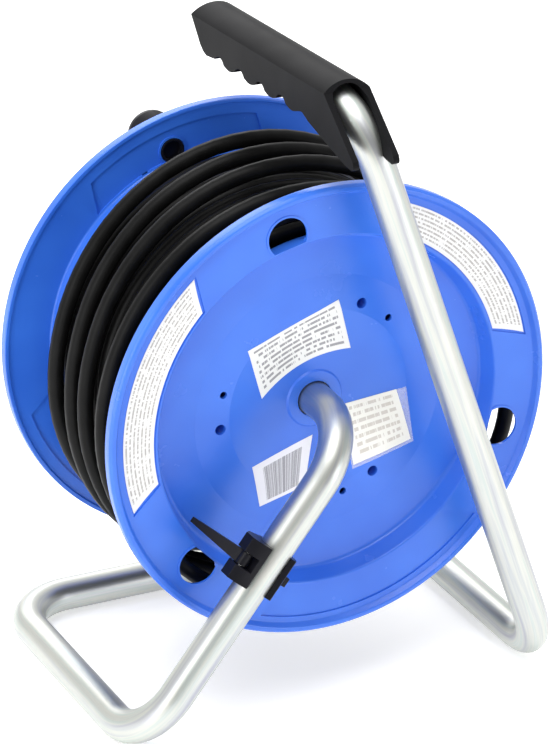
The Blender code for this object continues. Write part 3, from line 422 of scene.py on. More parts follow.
def prism(name, outline, low, high, matrix, material=None):
    """Flat outline in local XY, as thick as from low to high along local Z."""
    bm = bmesh.new()
    bottom = [bm.verts.new((x, y, low)) for x, y in outline]
    top = [bm.verts.new((x, y, high)) for x, y in outline]
    bm.faces.new(bottom)
    bm.faces.new(top)
    for k in range(len(outline)):
        after = (k + 1) % len(outline)
        bm.faces.new((bottom[k], bottom[after], top[after], top[k]))
    bmesh.ops.recalc_face_normals(bm, faces=bm.faces)
    return new_object(name, mesh_from(name, bm), material or BLACK, matrix)


def box_piece(name, low, high, matrix, material=None):
    outline = [(low[0], low[1]), (high[0], low[1]), (high[0], high[1]), (low[0], high[1])]
    return prism(name, outline, low[2], high[2], matrix, material)


def baked(obj):
    """Replaces the object's mesh by its mesh with modifiers applied."""
    graph = bpy.context.evaluated_depsgraph_get()
    mesh = bpy.data.meshes.new_from_object(obj.evaluated_get(graph))
    obj.modifiers.clear()
    obj.data = mesh
    return obj


def combined(obj, *tools):
    """Applies (operation, tool) pairs one after another and removes the tools."""
    for operation, tool in tools:
        modifier = obj.modifiers.new(tool.name, "BOOLEAN")
        modifier.operation = operation
        modifier.solver = "EXACT"
        modifier.object = tool
    baked(obj)
    for _, tool in tools:
        bpy.data.objects.remove(tool)
    return obj


def cut(obj, *tools):
    return combined(obj, *[("DIFFERENCE", tool) for tool in tools])


def join(obj, *tools):
    return combined(obj, *[("UNION", tool) for tool in tools])


def rounded_path(corners, radius, steps):
    """Points along straight runs between corners, with each corner rounded to a bend radius."""
    corners = [Vector(corner) for corner in corners]
    points = [corners[0]]
    for before, corner, after in zip(corners, corners[1:], corners[2:]):
        back = (before - corner).normalized()
        ahead = (after - corner).normalized()
        half = back.angle(ahead) / 2
        centre = corner + (back + ahead).normalized() * radius / math.sin(half)
        first = (corner + back * radius / math.tan(half) - centre).normalized()
        last = (corner + ahead * radius / math.tan(half) - centre).normalized()
        for step in range(steps + 1):
            points.append(centre + first.slerp(last, step / steps) * radius)
    points.append(corners[-1])
    return points


def smooth_path(knots, steps):
    """Points of a smooth curve (Catmull-Rom) through the knots."""
    knots = [Vector(knot) for knot in knots]
    padded = [2 * knots[0] - knots[1]] + knots + [2 * knots[-1] - knots[-2]]
    points = []
    for a, b, c, d in zip(padded, padded[1:], padded[2:], padded[3:]):
        for step in range(steps):
            t = step / steps
            points.append(0.5 * (2 * b + (c - a) * t + (2 * a - 5 * b + 4 * c - d) * t ** 2
                                 + (3 * b - a - 3 * c + d) * t ** 3))
    points.append(knots[-1])
    return points


def swept_tube(name, points, outer, inner, sides, material):
    """Hollow tube along a path. The vertex attribute "run" holds (cos, sin, length) for streaks along it."""
    tangents = []
    for index in range(len(points)):
        before = points[max(index - 1, 0)]
        after = points[min(index + 1, len(points) - 1)]
        tangents.append((after - before).normalized())
    side = tangents[0].orthogonal().normalized()
    bm = bmesh.new()
    shells = {outer: [], inner: []}
    runs = []
    length = 0.0
    for index, (point, tangent) in enumerate(zip(points, tangents)):
        if index:
            length += (point - points[index - 1]).length
        side = (side - tangent * side.dot(tangent)).normalized()
        other = tangent.cross(side)
        for radius, rings in shells.items():
            ring = []
            for k in range(sides):
                turn = math.tau * k / sides
                ring.append(bm.verts.new(point + (side * math.cos(turn) + other * math.sin(turn)) * radius))
                runs.append((math.cos(turn), math.sin(turn), length / outer))
            rings.append(ring)
    for rings in shells.values():
        for low, high in zip(rings, rings[1:]):
            for k in range(sides):
                after = (k + 1) % sides
                bm.faces.new((low[k], low[after], high[after], high[k]))
    for end in (0, -1):
        for k in range(sides):
            after = (k + 1) % sides
            bm.faces.new((shells[outer][end][k], shells[outer][end][after], shells[inner][end][after],
                          shells[inner][end][k]))
    bmesh.ops.recalc_face_normals(bm, faces=bm.faces)
    mesh = mesh_from(name, bm)
    store(mesh, "run", runs)
    return new_object(name, mesh, material)


# ---- frame: tube, grip and drum stop ----
FOOT_X = (TUBE_HIGH.x - TUBE_LOW.x) / 2 - TUBE_R
UPRIGHT_Y = TUBE_HIGH.y - TUBE_R
CROSSBAR_Y = TUBE_LOW.y + TUBE_R
HANDLE_X = 2.5 * MM
HANDLE_SLOPE = math.radians(2.73)
HANDLE_Z = 394.0 * MM
TUBE_IN_GRIP = 165.0 * MM
RIDGE_PITCH = 27.8 * MM
FIRST_RIDGE = -57.3 * MM
HANDLE_CORNER = Vector((HANDLE_X, UPRIGHT_Y, HANDLE_Z))
GRIP = Matrix.Translation(HANDLE_CORNER) @ Matrix.Rotation(HANDLE_SLOPE, 4, "X")
LEG_TOP = Vector((0.0, UPRIGHT_Y, HUB_Z))
LEG_FOOT = Vector((FOOT_X, UPRIGHT_Y, TUBE_R))
AXLE_END_Y = BACK_Y - 108.0 * MM
TUBE_BEND_STEPS = 18


def tube_path():
    corners = [(0.0, AXLE_END_Y, HUB_Z), LEG_TOP, LEG_FOOT, (FOOT_X, CROSSBAR_Y, TUBE_R),
               (-FOOT_X, CROSSBAR_Y, TUBE_R), (-FOOT_X, UPRIGHT_Y, TUBE_R), HANDLE_CORNER,
               GRIP @ Vector((0.0, -TUBE_IN_GRIP, 0.0))]
    return rounded_path(corners, BEND_R, TUBE_BEND_STEPS)


def make_tube():
    tube = swept_tube("steel_tube", tube_path(), TUBE_R, TUBE_R - TUBE_WALL, 40, STEEL)
    add_piece(tube, "frame", "galvanised_steel", "frame_tube")


def grip_side_outline():
    """Side view of the grip in its own (Y, Z): slanted mouth, skirt, finger ridges and slanted far end."""
    outline = [(-15.5, 20.0), (-15.5, 7.0), (20.4, -23.4)]
    outline += arc((18.6, -26.2), 2.7, 40, -95, 6)
    outline += [(11.0, -28.0), (-2.0, -24.6), (-16.4, -20.8), (-26.0, -18.0), (-36.0, -15.2)]
    outline = scaled(outline)
    steps = 64
    for step in range(steps + 1):
        y = FIRST_RIDGE + RIDGE_PITCH * (0.5 - 4 * step / steps)
        wave = math.cos(math.tau * (y - FIRST_RIDGE) / RIDGE_PITCH)
        outline.append((y, (-13.4 - 1.4 * wave) * MM))
    tail = [(-172.5, -13.6), (-177.0, -11.8), (-181.0, -8.6), (-193.4, 7.0), (-188.5, 20.0)]
    return outline + scaled(tail)


def make_grip():
    half_width = 14.85 * MM
    shoulder = 7.0 * MM
    rise = 6.8 * MM
    roof_r = (half_width ** 2 + rise ** 2) / (2 * rise)
    spread = math.degrees(math.asin(half_width / roof_r))
    side = axes((0, 1, 0), (0, 0, 1), (1, 0, 0), (0, 0, 0))
    along = axes((1, 0, 0), (0, 0, 1), (0, -1, 0), (0, 0, 0))
    far = 220.0 * MM
    deep = -60.0 * MM
    grip = prism("grip_shell", grip_side_outline(), -20 * MM, 20 * MM, GRIP @ side, GRIP_BLACK)
    arch = arc((0.0, shoulder + rise - roof_r), roof_r, 90 - spread, 90 + spread, 24)
    arch += [(-half_width, deep), (half_width, deep)]
    section = prism("section", arch, -far, far, GRIP @ along)
    inner = TUBE_R + 0.5 * MM
    mouth_outline = arc((0.0, 0.4 * MM), inner, 0, 180, 24) + [(-inner, deep), (inner, deep)]
    mouth = prism("mouth", mouth_outline, -far, BEND_R, GRIP @ along)
    scoops = []
    scoop_half = 4.6 * MM
    across = Matrix.Rotation(math.pi / 2, 4, "Y")
    for index in range(1, 5):
        y = FIRST_RIDGE + RIDGE_PITCH * (0.5 - index)
        for sign in (-1, 1):
            place = GRIP @ Matrix.Translation((sign * 15.6 * MM, y, -17.0 * MM)) @ across
            scoops.append(disc("scoop", 7.4 * MM, -scoop_half, scoop_half, place, 32))
    combined(grip, ("INTERSECT", section), ("DIFFERENCE", mouth), *[("DIFFERENCE", tool) for tool in scoops])
    channel = swept_tube("channel", tube_path()[-12:], inner, 1.0 * MM, 24, BLACK)
    cut(grip, channel)
    soften(grip, 0.7 * MM, 3, 30.0)
    add_piece(grip, "frame", "black_plastic", "handle_grip")


RUN = (LEG_FOOT - LEG_TOP).normalized()
TO_DRUM = Vector((0.0, -1.0, 0.0))
STOP = axes(TO_DRUM.cross(RUN), TO_DRUM, RUN, LEG_TOP + RUN * 97.0 * MM)
STOP_PIVOT = STOP @ Matrix.Translation(Vector((19.0, -5.0, 0.0)) * MM)
FINGER_ANGLE = 61.4


def make_stop():
    grip_r = TUBE_R + 0.2 * MM
    outline = arc((0.0, 0.0), grip_r, 232, -48, 36)
    outline += scaled([(11.5, -13.6), (19.0, -12.0), (24.0, -8.0), (24.0, 1.0), (17.5, 8.5)])
    outline += arc((0.0, 0.0), 14.4 * MM, 52, 228, 28)
    clamp = prism("stop_band", outline, -14 * MM, 14 * MM, STOP, BLACK)
    nub = box_piece("nub", mm(-19, -3, -2), mm(-13.6, 3, 4), STOP)
    slot = box_piece("slot", mm(-4.3, -20, -4.6), mm(20, 30, 4.6), STOP_PIVOT)
    grooves = []
    for sign in (-1, 1):
        low, high = sorted((sign * 9.4 * MM, sign * 10.4 * MM))
        ring = arc((0.0, 0.0), 16.0 * MM, 60, 220, 20) + arc((0.0, 0.0), 13.8 * MM, 220, 60, 20)
        grooves.append(prism("groove", ring, low, high, STOP))
    combined(clamp, ("UNION", nub), ("DIFFERENCE", slot), *[("DIFFERENCE", tool) for tool in grooves])
    soften(clamp, 0.5 * MM, 2, 30.0)
    add_piece(clamp, "frame", "black_plastic", "stop_clamp")
    lie = STOP_PIVOT @ Matrix.Rotation(math.radians(FINGER_ANGLE), 4, "Z")
    tip = 41.5 * MM
    finger_outline = arc((0.0, 0.0), 3.8 * MM, 30, 330, 24) + arc((tip, 0.0), 1.5 * MM, -90, 90, 10)
    finger = prism("stop_lever", finger_outline, -4.0 * MM, 4.0 * MM, lie, BLACK)
    side_view = scaled([(-5.0, -4.0), (6.0, -4.0), (44.0, -1.5), (44.0, 1.5), (6.0, 4.0), (-5.0, 4.0)])
    upright = lie @ axes((1, 0, 0), (0, 0, 1), (0, -1, 0), (0, 0, 0))
    taper = prism("taper", side_view, -9 * MM, 9 * MM, upright)
    combined(finger, ("INTERSECT", taper))
    cut(finger, disc("hole", 1.8 * MM, -9 * MM, 9 * MM, STOP_PIVOT, 24))
    soften(finger, 0.4 * MM, 2, 30.0)
    add_piece(finger, "stop", "black_plastic", "stop_finger")


# ---- flanges ----
def profile_mm(corners):
    """Rounded outline from (radius, out, fillet) corners in millimetres."""
    return filleted(scaled(corners))


RIM_OUTER = [(145.0, -7.5, 0.5), (145.0, -1.6, 1.4), (143.4, 0.0, 1.2), (141.0, 0.0, 1.2), (139.0, -3.5, 0.9),
             (112.3, -3.5, 1.6), (108.5, -16.0, 3.0), (82.0, -18.4, 0.8)]
POCKET_FLOOR = -4.5 * MM
RIM_INNER = [(110.4, -18.3, 3.0), (114.2, -6.0, 1.6), (142.4, -6.0, 0.8), (142.4, -7.5, 0.4)]


def sector(inner, outer, inner_half, outer_half):
    """Outline of a ring sector whose ends slant."""
    points = arc((0.0, 0.0), outer, -outer_half, outer_half, 36)
    return points + arc((0.0, 0.0), inner, inner_half, -inner_half, 30)


def hole_outline(radius, flat):
    spread = math.degrees(math.acos((flat - HOLE_CENTRE) / radius))
    return arc((0.0, 0.0), radius, -spread, spread, 40)


def rim_features(direction, rim_y):
    """Tools for a flange: label pockets outside, recessed sectors inside, holes with a thin raised collar."""
    tools = []
    for angle in LABEL_ANGLES:
        seat = drum_frame(direction, angle, 0.0, rim_y)
        pocket = sector(114.2 * MM, 135.4 * MM, 28.6, 34.0)
        tools.append(("DIFFERENCE", prism("pocket", pocket, POCKET_FLOOR, -2.0 * MM, seat)))
    for angle in HOLE_ANGLES:
        seat = drum_frame(direction, angle, 0.0, rim_y)
        recess = sector(115.4 * MM, 134.8 * MM, 30.6, 25.4)
        tools.append(("DIFFERENCE", prism("recess", recess, -8.0 * MM, -4.7 * MM, seat)))
        if direction == -1 and angle == HOLE_ANGLES[0]:
            centre = drum_frame(direction, CRANK_ANGLE, CRANK_CENTRE, rim_y)
            collar_r = CRANK_HOLE_R + 1.2 * MM
            tools.append(("UNION", disc("collar", collar_r, -5.6 * MM, -4.0 * MM, centre)))
            tools.append(("DIFFERENCE", disc("bore", CRANK_HOLE_R, -10.0 * MM, 3.0 * MM, centre)))
            continue
        centre = drum_frame(direction, angle, HOLE_CENTRE, rim_y)
        collar = hole_outline(HOLE_R + 1.3 * MM, HOLE_FLAT)
        tools.append(("UNION", prism("collar", collar, -4.2 * MM, -3.0 * MM, centre)))
        hole = hole_outline(HOLE_R, HOLE_FLAT)
        tools.append(("DIFFERENCE", prism("hole", hole, -10.0 * MM, 3.0 * MM, centre)))
    return tools


def make_back_flange():
    hub = [(59.5, -18.0, 1.5), (18.6, -24.4, 0.3), (17.6, -23.2, 0.5), (11.3, -23.2, 0.4),
           (11.3, -27.0, 0.0), (14.4, -27.0, 0.0), (14.4, -105.0, 0.0), (17.4, -105.0, 0.0),
           (17.4, -27.6, 0.0), (59.5, -20.6, 0.0), (82.0, -20.9, 0.0)]
    flange = lathe("rear_disc", profile_mm(RIM_OUTER + hub + RIM_INNER), BLUE, BACK, 160)
    tools = rim_features(1, BACK_Y)
    for angle in SCREW_ANGLES:
        seat = drum_frame(1, angle, SCREW_CIRCLE, BACK_Y)
        tools.append(("UNION", disc("boss", 5.5 * MM, -31.6 * MM, -19.4 * MM, seat, 32)))
        tools.append(("DIFFERENCE", disc("well", 3.4 * MM, -29.7 * MM, -10.0 * MM, seat, 32)))
        tools.append(("DIFFERENCE", disc("bore", 1.9 * MM, -35.0 * MM, -28.0 * MM, seat, 16)))
    for angle in VENT_ANGLES:
        seat = drum_frame(1, angle, SCREW_CIRCLE, BACK_Y)
        tools.append(("DIFFERENCE", disc("vent", 2.3 * MM, -30.0 * MM, -10.0 * MM, seat, 24)))
    combined(flange, *tools)
    soften(flange, 0.35 * MM, 2, 40.0)
    add_piece(flange, "drum", "blue_plastic", "back_flange")


def make_front_flange():
    lip = [(78.6, -18.4, 0.6), (78.6, -20.9, 0.0), (82.0, -20.9, 0.0)]
    flange = lathe("front_disc", profile_mm(RIM_OUTER + lip + RIM_INNER), BLUE, FRONT, 160)
    combined(flange, *rim_features(-1, FRONT_Y))
    soften(flange, 0.35 * MM, 2, 40.0)
    add_piece(flange, "drum", "blue_plastic", "front_flange")


# ---- stickers ----
def surface_out(radius):
    """Height of the back flange's outer face at a radius, as "out"."""
    steps = [(18.6, -24.4), (59.5, -18.0), (82.0, -18.4), (108.5, -16.0)]
    for (r0, out0), (r1, out1) in zip(steps, steps[1:]):
        if radius <= r1 * MM:
            return (out0 + (out1 - out0) * (radius / MM - r0) / (r1 - r0)) * MM
    return -16.0 * MM


def sticker(name, grid, thickness, material):
    """Thin sheet from a grid of world points and page coordinates, offset to both sides by its thickness."""
    bm = bmesh.new()
    rows = [[bm.verts.new(point) for point, _ in row] for row in grid]
    pages = [(u, v, 0.0) for row in grid for _, (u, v) in row]
    for low, high in zip(rows, rows[1:]):
        for k in range(len(low) - 1):
            bm.faces.new((low[k], low[k + 1], high[k + 1], high[k]))
    mesh = mesh_from(name, bm)
    store(mesh, "page", pages)
    obj = new_object(name, mesh, material)
    wall = obj.modifiers.new("paper", "SOLIDIFY")
    wall.thickness = thickness
    wall.offset = 0.0
    baked(obj)
    add_piece(obj, "drum", "white_nylon")


def rim_sticker(name, angle, material):
    """Curved sticker in a rim pocket of the back flange, with slanted ends."""
    grid = []
    rows, columns = 6, 56
    y = BACK_Y + POCKET_FLOOR + 0.14 * MM
    for row in range(rows + 1):
        share = row / rows
        radius = (115.0 + (134.6 - 115.0) * share) * MM
        half = 28.0 + (33.3 - 28.0) * share
        line = []
        for column in range(columns + 1):
            across = column / columns
            turn = angle + half * (2 * across - 1)
            line.append((on_drum(radius, turn, y), (across, share)))
        grid.append(line)
    sticker(name, grid, 0.16 * MM, material)


def dish_sticker(name, corners, bulge, material, lift=0.16):
    """Sticker on the dished centre.

    The corners are (x, z) in millimetres from the axle, and bulge bows the lower edge in.
    """
    low_left, low_right, high_right, high_left = [Vector(corner) for corner in corners]
    count = 18
    grid = []
    for row in range(count + 1):
        v = row / count
        line = []
        for column in range(count + 1):
            u = column / count
            low = low_left.lerp(low_right, u)
            high = high_left.lerp(high_right, u)
            flat = low.lerp(high, v)
            inward = (high - low).normalized() * bulge * (1 - v) * 4 * u * (1 - u)
            flat = (flat + inward) * MM
            y = BACK_Y + surface_out(flat.length) + lift * MM
            line.append((Vector((flat.x, y, HUB_Z + flat.y)), (u, v)))
        grid.append(line)
    sticker(name, grid, 0.14 * MM, material)


def make_stickers():
    rim_print = printed("rim_print", 8, 90, (0.42, 0.40, 0.38), 0.03, 0.45)
    for index, angle in enumerate(LABEL_ANGLES[:2]):
        rim_sticker(f"rim_sticker_{index + 1}", angle, rim_print)
    dense = printed("plate_print", 9, 16, (0.30, 0.30, 0.31), 0.05, 0.5)
    bars = printed("bar_print", 1, 60, (0.30, 0.30, 0.32), 0.16, 0.86, (0.78, 0.78, 0.82))
    pale = printed("pale_print", 8, 14, (0.62, 0.58, 0.52), 0.10, 0.5, (0.86, 0.85, 0.78))
    dish_sticker("plate_sticker", [(36.5, 7.5), (-22.3, 30.1), (-11.7, 64.7), (47.9, 41.9)], 6.5, dense)
    dish_sticker("bar_sticker", [(38.5, -62.2), (8.0, -54.0), (1.1, -23.9), (43.7, -35.1)], 0.0, bars)
    film_corners = [(-24.3, -49.8), (-65.5, -38.8), (-59.2, -1.1), (-16.5, -8.0)]
    dish_sticker("film_sticker", film_corners, 0.0, FILM, 0.12)
    pale_corners = [(-24.9, -47.2), (-63.5, -36.8), (-52.9, -1.9), (-19.2, -7.7)]
    dish_sticker("pale_sticker", pale_corners, 0.0, pale, 0.30)


# ---- cable ----
STEPS_PER_TURN = 24
SPLINE_STEPS = 3
GLAND_ANGLE = 285.0
GLAND_Y = BACK_Y - 55.0 * MM
GLAND_TILT = math.radians(25.0)
PLUG_ANGLE = 226.0
PLUG_AXIS_R = 136.4 * MM
PLUG_Y = BACK_Y - 28.0 * MM
PLUG_FACE = 46.0 * MM
PLUG_LENGTH = 44.0 * MM
SLEEVE_LENGTH = 32.0 * MM
TAIL_HANDLE = 50.0 * MM
# the winding as legs along the axle: (depth reached in mm, turns taken, how slack these turns lie)
LEGS = [(-66.4, 8.3, 0.0), (45.3, 11.1, 0.0), (-65.8, 11.1, 0.0), (30.0, 4.0, 1.0), (56.5, 0.45, 1.0),
        (57.0, 0.1, 1.0), (44.0, 0.533, 0.8)]
FIRST_ANGLE = 300.0
WINDING_STEPS = 14 + STEPS_PER_TURN * 35
# the core's room ends here; deeper, the cable lies on the step inside the back flange's rim
CORE_ROOM = 46.0 * MM
WALL_HEIGHT = 123.5 * MM
# neighbouring turns press together a little, and stacked turns sit slightly proud of a perfect nest
TURN_SPACING = 1.99 * CABLE_R
NEST_LIFT = 1.03


def tangent_frame(radius, angle, y, tilt):
    """Frame whose Z runs along the winding, tilted outwards."""
    turn = math.radians(angle)
    radial = Vector((math.cos(turn), 0.0, math.sin(turn)))
    tangent = Vector((-math.sin(turn), 0.0, math.cos(turn)))
    way = tangent * math.cos(tilt) + radial * math.sin(tilt)
    side = Vector((0.0, 1.0, 0.0))
    return axes(side.cross(way), side, way, on_drum(radius, angle, y))


def plug_frame():
    return tangent_frame(PLUG_AXIS_R, PLUG_ANGLE, PLUG_Y, 0.0)


def eased(share):
    return share * share * (3 - 2 * share)


def coil_depths():
    """Depth along the axle and slackness at every step of the winding."""
    turns = sum(leg[1] for leg in LEGS)
    depths = []
    for step in range(WINDING_STEPS + 1):
        turn = turns * step / WINDING_STEPS
        start = GLAND_Y
        for end, length, slack in LEGS:
            if turn <= length or (end, length, slack) == LEGS[-1]:
                share = min(turn / length, 1.0)
                depths.append((start + (end * MM - start) * share, slack))
                break
            turn -= length
            start = end * MM
    return depths


def slackness(angle):
    """How far a loose turn stands off the layer below: most at the top and at the lower +X side."""
    low = max(0.0, math.cos(math.radians(angle + 52.0))) ** 3
    high = max(0.0, math.cos(math.radians(angle - 88.0))) ** 2
    return (0.4 + 7.0 * low + 8.5 * high) * MM


def waviness(step):
    """How far a loose turn strays along the axle; slow and uneven, so that neighbours cross at a slant."""
    turn = step / STEPS_PER_TURN
    return (2.1 * math.sin(math.tau * (turn * 1.37 + 0.1)) + 1.5 * math.sin(math.tau * turn * 2.19)) * MM


def head_route(height):
    """Start of the cable: straight out of the gland, then turning evenly until it lies along the winding."""
    gland = tangent_frame(CORE_R - 1.5 * MM, GLAND_ANGLE, GLAND_Y, GLAND_TILT)
    points = [gland @ Vector((0.0, 0.0, -6.0 * MM)), gland @ Vector((0.0, 0.0, -1.0 * MM))]
    radius = math.hypot(points[-1].x, points[-1].z - HUB_Z)
    angle = math.atan2(points[-1].z - HUB_Z, points[-1].x)
    length = 2 * (height - radius) / GLAND_TILT
    steps, kept_every = 100, 25
    for step in range(steps):
        tilt = GLAND_TILT * (1 - step / steps)
        radius += math.sin(tilt) * length / steps
        angle += math.cos(tilt) * length / steps / radius
        if (step + 1) % kept_every == 0:
            points.append(on_drum(radius, math.degrees(angle), GLAND_Y))
    return points


def tail_route(start, way):
    """End of the cable: off the last turn in one smooth sweep into the plug's sleeve."""
    seat = plug_frame()
    finish = seat @ Vector((0.0, 0.0, PLUG_FACE - PLUG_LENGTH - SLEEVE_LENGTH - 0.3 * MM))
    before = start + way * TAIL_HANDLE
    after = finish - seat.col[2].to_3d() * TAIL_HANDLE
    points = []
    pieces = 7
    for step in range(1, pieces + 1):
        t = step / pieces
        u = 1 - t
        points.append(start * u ** 3 + before * 3 * t * u ** 2 + after * 3 * t * t * u + finish * t ** 3)
    return points


def wound_heights(base, depths):
    """Height of the centre line at every step: each turn lies on those below, smoothed along the cable."""
    laid = [[] for _ in range(STEPS_PER_TURN)]
    raw = []
    heights = []
    reach = 2
    peak_share = 0.3
    for step in range(WINDING_STEPS + 1 + reach):
        if step <= WINDING_STEPS:
            depth = depths[step][0]
            height = WALL_HEIGHT if depth > CORE_ROOM else base
            for other_depth, other_height in laid[step % STEPS_PER_TURN]:
                gap = abs(depth - other_depth)
                if gap < TURN_SPACING:
                    height = max(height, other_height + NEST_LIFT * math.sqrt(TURN_SPACING ** 2 - gap ** 2))
            raw.append(height)
        settled = step - reach
        if settled >= 0:
            window = raw[max(settled - reach, 0):settled + reach + 1]
            height = peak_share * max(window) + (1 - peak_share) * sum(window) / len(window)
            laid[settled % STEPS_PER_TURN].append((depths[settled][0], height))
            heights.append(height)
    return heights


def cable_route():
    """Centre line of the whole cable: out of the gland, layer on layer round the core, and on to the plug."""
    base = CORE_R + CABLE_R + 0.7 * MM
    points = head_route(base)
    depths = coil_depths()
    heights = wound_heights(base, depths)
    loose_from = next(step for step, (_, slack) in enumerate(depths) if slack > 0.0)
    for step in range(1, WINDING_STEPS + 1):
        depth, slack = depths[step]
        angle = FIRST_ANGLE + 360.0 * step / STEPS_PER_TURN
        fade = slack * eased(min(1.0, max(0.0, (WINDING_STEPS - step) / STEPS_PER_TURN)))
        rise = eased(min(1.0, max(0.0, (step - loose_from) / STEPS_PER_TURN)))
        height = heights[step] + slackness(angle) * fade * rise
        points.append(on_drum(height, angle, depth + waviness(step) * fade * rise))
    points += tail_route(points[-1], (points[-1] - points[-2]).normalized())
    return smooth_path(points, SPLINE_STEPS)


def make_cable():
    points = cable_route()
    curve = bpy.data.curves.new("cable", "CURVE")
    curve.dimensions = "3D"
    curve.bevel_depth = CABLE_R
    curve.bevel_resolution = 3
    curve.use_fill_caps = True
    spline = curve.splines.new("POLY")
    spline.points.add(len(points) - 1)
    for item, point in zip(spline.points, points):
        item.co = (*point, 1.0)
    spline.use_smooth = True
    curve.materials.append(RUBBER)
    cable = bpy.data.objects.new("cable", curve)
    bpy.context.scene.collection.objects.link(cable)
    add_piece(cable, "drum", "black_rubber", "cable_winding", "cable_tail")
    return cable, points[0]


def make_plug():
    seat = plug_frame()
    signs = (-1, 1)
    pin_seats = [seat @ Matrix.Translation((0.0, sign * PIN_OFFSET, 0.0)) for sign in signs]
    face, rear = PLUG_FACE, PLUG_FACE - PLUG_LENGTH
    groove = 0.7 * MM
    profile = [(0.0, face), (16.9 * MM, face), (17.5 * MM, face - 0.6 * MM)]
    for index in range(5):
        low = face - (14.5 + 1.6 * index) * MM
        radius = (17.5 - 0.25 * index) * MM
        profile += [(radius, low + 0.9 * MM), (radius - groove, low + 0.5 * MM), (radius - groove, low),
                    (radius - 0.1 * MM, low - 0.3 * MM)]
    profile += [(14.8 * MM, face - 26 * MM), (12.8 * MM, face - 32 * MM), (11.2 * MM, rear + 3 * MM),
                (10.0 * MM, rear), (0.0, rear)]
    body = lathe("plug_shell", profile, PLUG_RUBBER, seat, 64)
    wells = []
    for sign, pin_seat in zip(signs, pin_seats):
        wells.append(disc("well", 2.7 * MM, face - 9 * MM, face + MM, pin_seat, 24))
        side = seat @ Matrix.Translation((sign * 17.2 * MM, 0.0, 0.0))
        low, high = (-1.4 * MM, -3 * MM, face - 13 * MM), (1.4 * MM, 3 * MM, face + MM)
        wells.append(box_piece("notch", low, high, side))
    cut(body, *wells)
    add_piece(body, "drum", "black_rubber", "plug_body")
    rear -= 0.3 * MM
    ribs = 9
    sleeve = [(0.0, rear)]
    for index in range(ribs):
        radius = (9.0 - 2.6 * index / ribs) * MM
        high, low, neck = [rear - SLEEVE_LENGTH * (index + part) / ribs for part in (0.0, 0.62, 1.0)]
        inner = radius - 1.0 * MM
        sleeve += [(radius, high), (radius, low), (inner, low - 0.1 * MM), (inner, neck)]
    sleeve.append((0.0, rear - SLEEVE_LENGTH))
    relief = lathe("plug_relief", sleeve, PLUG_RUBBER, seat, 40)
    add_piece(relief, "drum", "black_rubber", "plug_sleeve")
    pins = []
    for index, pin_seat in enumerate(pin_seats, 1):
        profile = [(0.0, face + 19 * MM)]
        profile += [(r, face + 17.2 * MM + z) for r, z in arc((0.0, 0.0), 1.8 * MM, 80, 20, 5)]
        profile += [(2.4 * MM, face + 16.4 * MM), (2.4 * MM, face - 8.5 * MM), (0.0, face - 8.5 * MM)]
        pin = lathe(f"plug_blade_{index}", profile, ZINC, pin_seat, 32)
        pins.append(add_piece(pin, "drum", "zinc_steel", f"plug_pin_{index}"))
    return [body, relief, *pins]


# ---- panel, sockets and knob ----
COLLAR_OUT = -6.0 * MM
PANEL_OUT = -15.0 * MM
LID_AXIS_OUT = COLLAR_OUT + 3.0 * MM
LID_HINGE = 29.0 * MM
HINGE = axes((1, 0, 0), (0, 0, -1), (0, 1, 0), (LID_HINGE, 0.0, LID_AXIS_OUT))


def socket_seat(angle):
    return drum_frame(-1, angle, SOCKET_CIRCLE, FRONT_Y)


def hinge_seat(angle):
    return socket_seat(angle) @ HINGE


def make_panel():
    low = PANEL_OUT - 3.0 * MM
    profile = [(0.0, PANEL_OUT), (70 * MM, PANEL_OUT), (78 * MM, PANEL_OUT), (81.9 * MM, PANEL_OUT),
               (82.5 * MM, PANEL_OUT - 0.6 * MM), (82.5 * MM, low), (0.0, low)]
    panel = lathe("panel_disc", profile, PANEL_BLACK, FRONT, 144)
    tools = []
    for angle in SOCKET_ANGLES:
        seat = socket_seat(angle)
        tools.append(("UNION", disc("tower", 25.0 * MM, low - 0.5 * MM, COLLAR_OUT, seat, 72)))
        tools.append(("DIFFERENCE", disc("mouth", 22.3 * MM, -40 * MM, 0.0, seat, 72)))
        for side in (-1, 1):
            near, far = sorted((side * 8.0 * MM, side * 10.5 * MM))
            foot = LID_AXIS_OUT - low - 1.5 * MM
            seat_r = 1.6 * MM
            ear = [(-2.8 * MM, foot), mm(-2.8, -2.6), mm(-1.1, -2.6)]
            ear += arc((0.0, 0.0), seat_r, 227, -47, 14)
            ear += [mm(1.1, -2.6), mm(2.8, -2.6), (2.8 * MM, foot)]
            tools.append(("UNION", prism("lug", ear, near, far, hinge_seat(angle))))
    for angle in PANEL_SCREW_ANGLES:
        seat = drum_frame(-1, angle, PANEL_SCREW_CIRCLE, FRONT_Y)
        tools.append(("DIFFERENCE", disc("bore", 1.9 * MM, -30 * MM, 0.0, seat, 20)))
    tools.append(("DIFFERENCE", disc("eye", 11.0 * MM, -40 * MM, 0.0, FRONT, 48)))
    combined(panel, *tools)
    soften(panel, 0.3 * MM, 2, 40.0)
    add_piece(panel, "drum", "black_plastic", "socket_panel")


